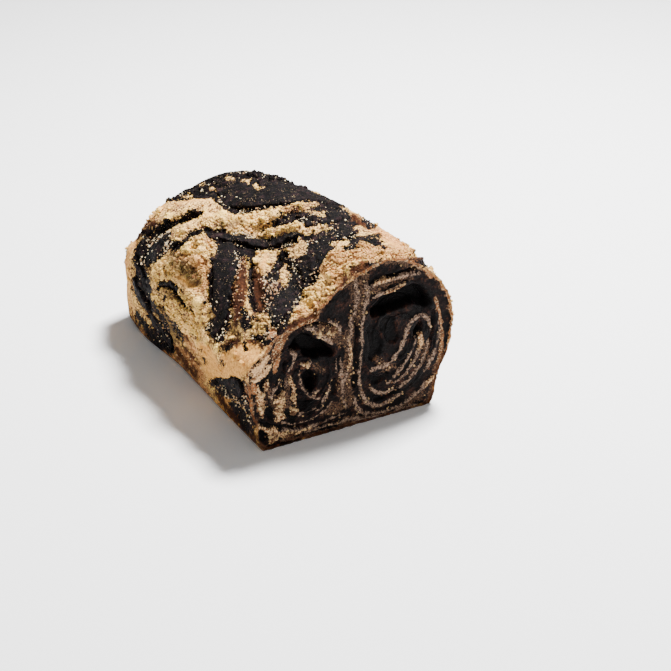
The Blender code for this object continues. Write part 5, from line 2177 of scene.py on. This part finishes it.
@dataclass(frozen=True)
class Topping:
    """Crumbs of the topping, from the source's own large ones to fine grains and sugar."""

    # The source's own crumbs: seed, number, radii and the places that it tries
    seed: int = 12
    large_count: int = 126
    largest: float = 0.0040
    shrink: float = 0.0020
    tries: int = 20000
    tried_turns: tuple[float, float] = (-98, 84)
    tried_margins: tuple[float, float] = (0.006, 0.030)
    path_step: float = 0.0075
    clearance: float = 0.0010
    spacing: float = 0.88
    # The finer crumbs: places tried for each, where, and how evenly
    tries_each: int = 8
    last_turn: float = 126.0
    margins: tuple[float, float] = (0.001, 0.010)
    patchy: Bumps = Bumps(0.008, 1.0, 2, 40.0)
    small_power: float = 2.2
    least_height: float = 1.2
    shades: tuple[float, float] = (0.58, 0.26)
    browned_spread: float = 0.14
    coated_spread: float = 0.9

    def source_spots(self) -> tuple[Array, Array, Array]:
        """Find the crumbs that the part's source fuses to the loaf.

        Returns:
            Their turn, run and radius.
        """
        draw = random.Random(self.seed)
        near, far = self.tried_margins
        pairs = np.array([(math.radians(draw.uniform(*self.tried_turns)),
                           draw.uniform(FORM.cut_y + near, FORM.last_run - far))
                          for _ in range(self.tries)])
        turn, run = pairs.T
        across = turn * FORM.crust_reach
        inside = np.zeros(len(turn), dtype=bool)
        for rows in CRUMB_FIELDS:
            inside |= depth_inside(across, run, FORM.flat(rows), self.path_step) > 0
        clear = np.full(len(turn), 1.0)
        for rows in SWIRLS.values():
            clear = np.minimum(clear, -depth_inside(across, run, FORM.flat(rows), self.path_step))
        stretch = np.maximum(1.0, FORM.crust_reach / FORM.reach(turn, run))
        kept: list[tuple[float, float, float]] = []
        for index in np.flatnonzero(inside):
            if len(kept) >= self.large_count:
                break
            radius = self.largest - self.shrink * len(kept) / self.large_count
            if clear[index] <= (radius + self.clearance) * stretch[index]:
                continue
            spaced = all(
                math.hypot(across[index] - other[0] * FORM.crust_reach, run[index] - other[1])
                > self.spacing * stretch[index] * (radius + other[2]) for other in kept
            )
            if spaced:
                kept.append((turn[index], run[index], radius))
        turn, run, radius = np.array(kept).T
        marks = MARKINGS.read(turn, run)
        coated, smooth = rise(marks["dark"], -1.0, 0.5), rise(marks["smooth"], -1.0, 1.0)
        return turn, run, radius * (0.92 - 0.22 * coated - 0.35 * smooth * (1 - coated))

    def chances(self, kind: CrumbKind, turn: Array, run: Array) -> Array:
        """Work out how likely a kind of crumb is to lie at some spots.

        Args:
            kind: the kind of crumb.
            turn: radians of each spot.
            run: metres of each spot.

        Returns:
            A share for each spot.
        """
        marks = MARKINGS.read(turn, run)
        patchy = self.patchy.read(np.stack([turn * FORM.crust_reach, run, 0 * run], axis=-1))
        dark = rise(marks["dark"], -0.5, 0.5)
        if kind.ground is Ground.CRUST:
            chance = 0.30 + marks["crumbly"] * 0.14 + patchy * 0.25
            chance = np.clip(chance, 0.05, 1) * (1 - 0.9 * rise(marks["smooth"], -1.5, 1))
            chance *= (1 - 0.75 * rise(marks["brown"], -1, 1)) * (1 - 0.4 * rise(marks["pink"], -1, 1))
            chance = chance * (1 - dark) + kind.on_dark * dark * (1 - rise(marks["smooth"], -1, 1))
        else:
            chance = (0.035 + 0.60 * rise(marks["sugared"], -2.5, 1.5)) * np.clip(0.75 + patchy * 0.9, 0, 1)
            chance *= dark + 0.5 * rise(marks["pink"], -1, 1) + 0.4 * rise(marks["brown"], -1, 1)
            chance *= 1 - 0.8 * rise(marks["smooth"], 0, 2)
        return chance * np.clip(2.2 - np.abs(np.degrees(turn)) / 62, 0, 1)

    def scatter(self, kind: CrumbKind, material: bpy.types.Material,
                extra: tuple[Array, Array, Array] | None = None) -> None:
        """Scatter one kind of crumb over the crust where it belongs.

        Args:
            kind: the kind of crumb.
            material: its finish.
            extra: turn, run and radius of further lumps that are always made.
        """
        draw = np.random.default_rng(kind.seed)
        tries = kind.count * self.tries_each
        last = math.radians(self.last_turn)
        turn = draw.uniform(-last, last, tries)
        run = draw.uniform(FORM.cut_y + self.margins[0], FORM.last_run - self.margins[1], tries)
        chance = self.chances(kind, turn, run)
        picked = np.flatnonzero(draw.uniform(size=tries) < chance)[:kind.count]
        turn, run = turn[picked], run[picked]
        least, most = kind.radii
        radius = least + (most - least) * draw.uniform(size=len(picked)) ** self.small_power
        if extra is not None:
            turn, run, radius = (np.concatenate([a, b]) for a, b in zip(extra, (turn, run, radius)))
        marks = MARKINGS.read(turn, run)
        bare = FORM.point(turn, run)
        under = RELIEF.read(bare, marks)[0] + RELIEF.cover(marks)
        centres = bare + FORM.normal(turn, run) * (under + radius * (0.5 - kind.sink))[:, None]
        keep = centres[:, 2] > radius * self.least_height
        shade = np.clip(draw.normal(*self.shades, len(turn)), 0, 1)
        # Painted shade: crumbs in the dull shaded hollows are darker
        shade = shade * (1 - 0.5 * rise(marks["dull_shade"], -1, 2))
        warm = np.maximum(rise(marks["brown"], -1, 2) * 0.7, rise(marks["pink"], -1, 2) * 0.35)
        browned = np.clip(warm + draw.normal(0, self.browned_spread, len(turn)), 0, 1)
        coated = marks["dark"] + draw.normal(0, self.coated_spread, len(turn)) > 0.5
        coated = coated & (kind.ground is Ground.CRUST)
        values = {"shade": shade[keep], "browned": browned[keep], "choc": coated[keep] * 1.0}
        piece = lump_mesh(kind.name, centres[keep], radius[keep], kind.fineness, kind.jitter, draw,
                          None if kind.fineness > 1 else values)
        fit_out(piece, material, "baked_dough")

    def build(self, skin: bpy.types.Material) -> None:
        """Build every kind of crumb.

        Args:
            skin: the crust's own finish, which the larger crumbs have too.
        """
        crumb = LooseFinish("loose_crumb", dark=(134, 86, 54), light=(255, 214, 126),
                            browned=(104, 60, 38)).build()
        sugar = LooseFinish("sugar_grain", dark=(186, 140, 96), light=(255, 238, 196),
                            browned=(190, 136, 98), roughness=0.6).build()
        self.scatter(LUMPS, skin, self.source_spots())
        self.scatter(CRUMBS, skin)
        self.scatter(GRAINS, crumb)
        self.scatter(SUGAR, sugar)


@dataclass(frozen=True)
class CutCrumbs:
    """Pale crumbs of dough that stand on the cut face."""

    count: int = 700
    seed: int = 31
    # Clusters at the left coil: pixel x, pixel y and spread
    clusters: Rows = (
        (281, 397, 3), (281, 407, 4), (279, 413, 3), (294, 398, 2), (294, 411, 3), (306, 366, 3),
        (262, 395, 2), (262, 408, 2), (274, 437, 4), (287, 435, 3), (332, 332, 5), (320, 334, 4),
    )
    each: int = 16
    spread: float = 0.6
    reaches: tuple[float, float] = (0.02, 0.95)
    cluster_radii: tuple[float, float] = (0.0004, 0.0013)
    radii: tuple[float, float] = (0.00025, 0.0007)
    least_height: float = 0.004
    proud: float = 0.1
    shades: tuple[float, float] = (0.38, 0.28)
    browned: tuple[float, float] = (0.12, 0.15)
    fineness: int = 2
    jitter: float = 0.6

    def build(self) -> None:
        """Build the crumbs: clusters seen at the left coil, and fine ones all over."""
        draw = np.random.default_rng(self.seed)
        spots = []
        for x, y, spread in self.clusters:
            wide = spread * self.spread
            for _ in range(self.each):
                spots.append(CAMERA.on_cut(x + draw.normal(0, wide), y + draw.normal(0, wide)))
        close = len(spots)
        for _ in range(self.count):
            turn, share = draw.uniform(-math.pi, math.pi), math.sqrt(draw.uniform(*self.reaches))
            reach = float(FORM.reach(np.array(turn), np.array(FORM.cut_y))) * share
            spots.append((reach * math.sin(turn), FORM.axis_height + reach * math.cos(turn)))
        x, z = np.array(spots).T
        clustered = np.arange(len(x)) < close
        large = draw.uniform(*self.cluster_radii, len(x))
        radius = np.where(clustered, large, draw.uniform(*self.radii, len(x)))
        marks = PATTERN.read(x, z)
        keep = (z > self.least_height) & (marks["deep"] < 0.5)
        keep &= clustered | (np.maximum(marks["crumb"], marks["grey"]) > -1.2)
        centres = np.stack([x, FORM.cut_y + marks["set_back"] + radius * self.proud, z], axis=-1)
        shade = np.clip(draw.normal(*self.shades, len(x)), 0, 1)
        browned = np.clip(draw.normal(*self.browned, len(x)), 0, 1)
        crumb = LooseFinish("cut_crumb", dark=(84, 56, 40), light=(220, 184, 132),
                            browned=(120, 70, 44)).build()
        values = {"shade": shade[keep], "browned": browned[keep], "choc": 0.0 * shade[keep]}
        piece = lump_mesh("cut_crumbs", centres[keep], radius[keep], self.fineness, self.jitter, draw, values)
        fit_out(piece, crumb, "baked_dough")


# Floor and light


@dataclass(frozen=True)
class Lamp:
    """A soft square light aimed at the loaf."""

    name: str
    place: tuple[float, float, float]
    size: float
    power: float
    aim: tuple[float, float, float] = (0.0, 0.0, 0.05)

    def build(self) -> None:
        """Add the light."""
        data = bpy.data.lights.new(self.name, "AREA")
        data.size = self.size
        data.energy = self.power
        lamp = bpy.data.objects.new(self.name, data)
        lamp.location = self.place
        aim = Vector(self.aim) - Vector(self.place)
        lamp.rotation_euler = aim.to_track_quat("-Z", "Y").to_euler()
        bpy.context.scene.collection.objects.link(lamp)


@dataclass(frozen=True)
class Studio:
    """A pale floor with soft light from the upper right and behind."""

    floor_reach: float = 6.0
    floor_tone: Screen = (250, 250, 250)
    lamps: tuple[Lamp, ...] = (
        Lamp("key", (0.42, 0.16, 1.05), 0.26, 64.0),
        Lamp("fill", (-0.30, -1.10, 0.75), 0.9, 3.2),
    )
    surroundings: float = 0.28

    def floor(self) -> None:
        """Make the floor."""
        shell = bmesh.new()
        bmesh.ops.create_grid(shell, x_segments=2, y_segments=2, size=self.floor_reach)
        mesh = bpy.data.meshes.new("floor")
        shell.to_mesh(mesh)
        shell.free()
        piece = put_in_scene("floor", mesh)
        piece.data.materials.append(Tree("floor_paper").finish(tone(*self.floor_tone), 0.9, 0.1))

    def build(self) -> None:
        """Make the floor, the lights and the pale surroundings."""
        self.floor()
        for lamp in self.lamps:
            lamp.build()
        world = bpy.data.worlds.new("studio")
        world.use_nodes = True
        background = world.node_tree.nodes["Background"]
        background.inputs["Color"].default_value = (1.0, 1.0, 1.0, 1.0)
        background.inputs["Strength"].default_value = self.surroundings
        bpy.context.scene.world = world


# How strongly a strip is wrinkled, where not in full
WRINKLED = {"swirl_tongue": 0.45}


def main() -> None:
    """Build every piece round the frame."""
    logging.basicConfig(level=logging.INFO, format="%(message)s")
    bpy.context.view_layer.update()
    CAMERA.build()
    Studio().build()
    skin = CrustFinish().build()
    Crust().build(skin)
    CutFace().build(CutFinish().build())
    filling = CutFinish("moist_filling", deep=(3, 2, 2), body=(14, 8, 8), knot=(56, 33, 25), gloss=0.95,
                        specular=0.05).build()
    for coil in (LEFT_COIL, RIGHT_COIL):
        coil.build(filling)
    chocolate = SwirlFinish().build()
    for name, rows in SWIRLS.items():
        SwirlPiece(name, rows, WRINKLED.get(name, 1.0)).build(chocolate)
    Topping().build(skin)
    CutCrumbs().build()


if __name__ == "__main__":
    main()
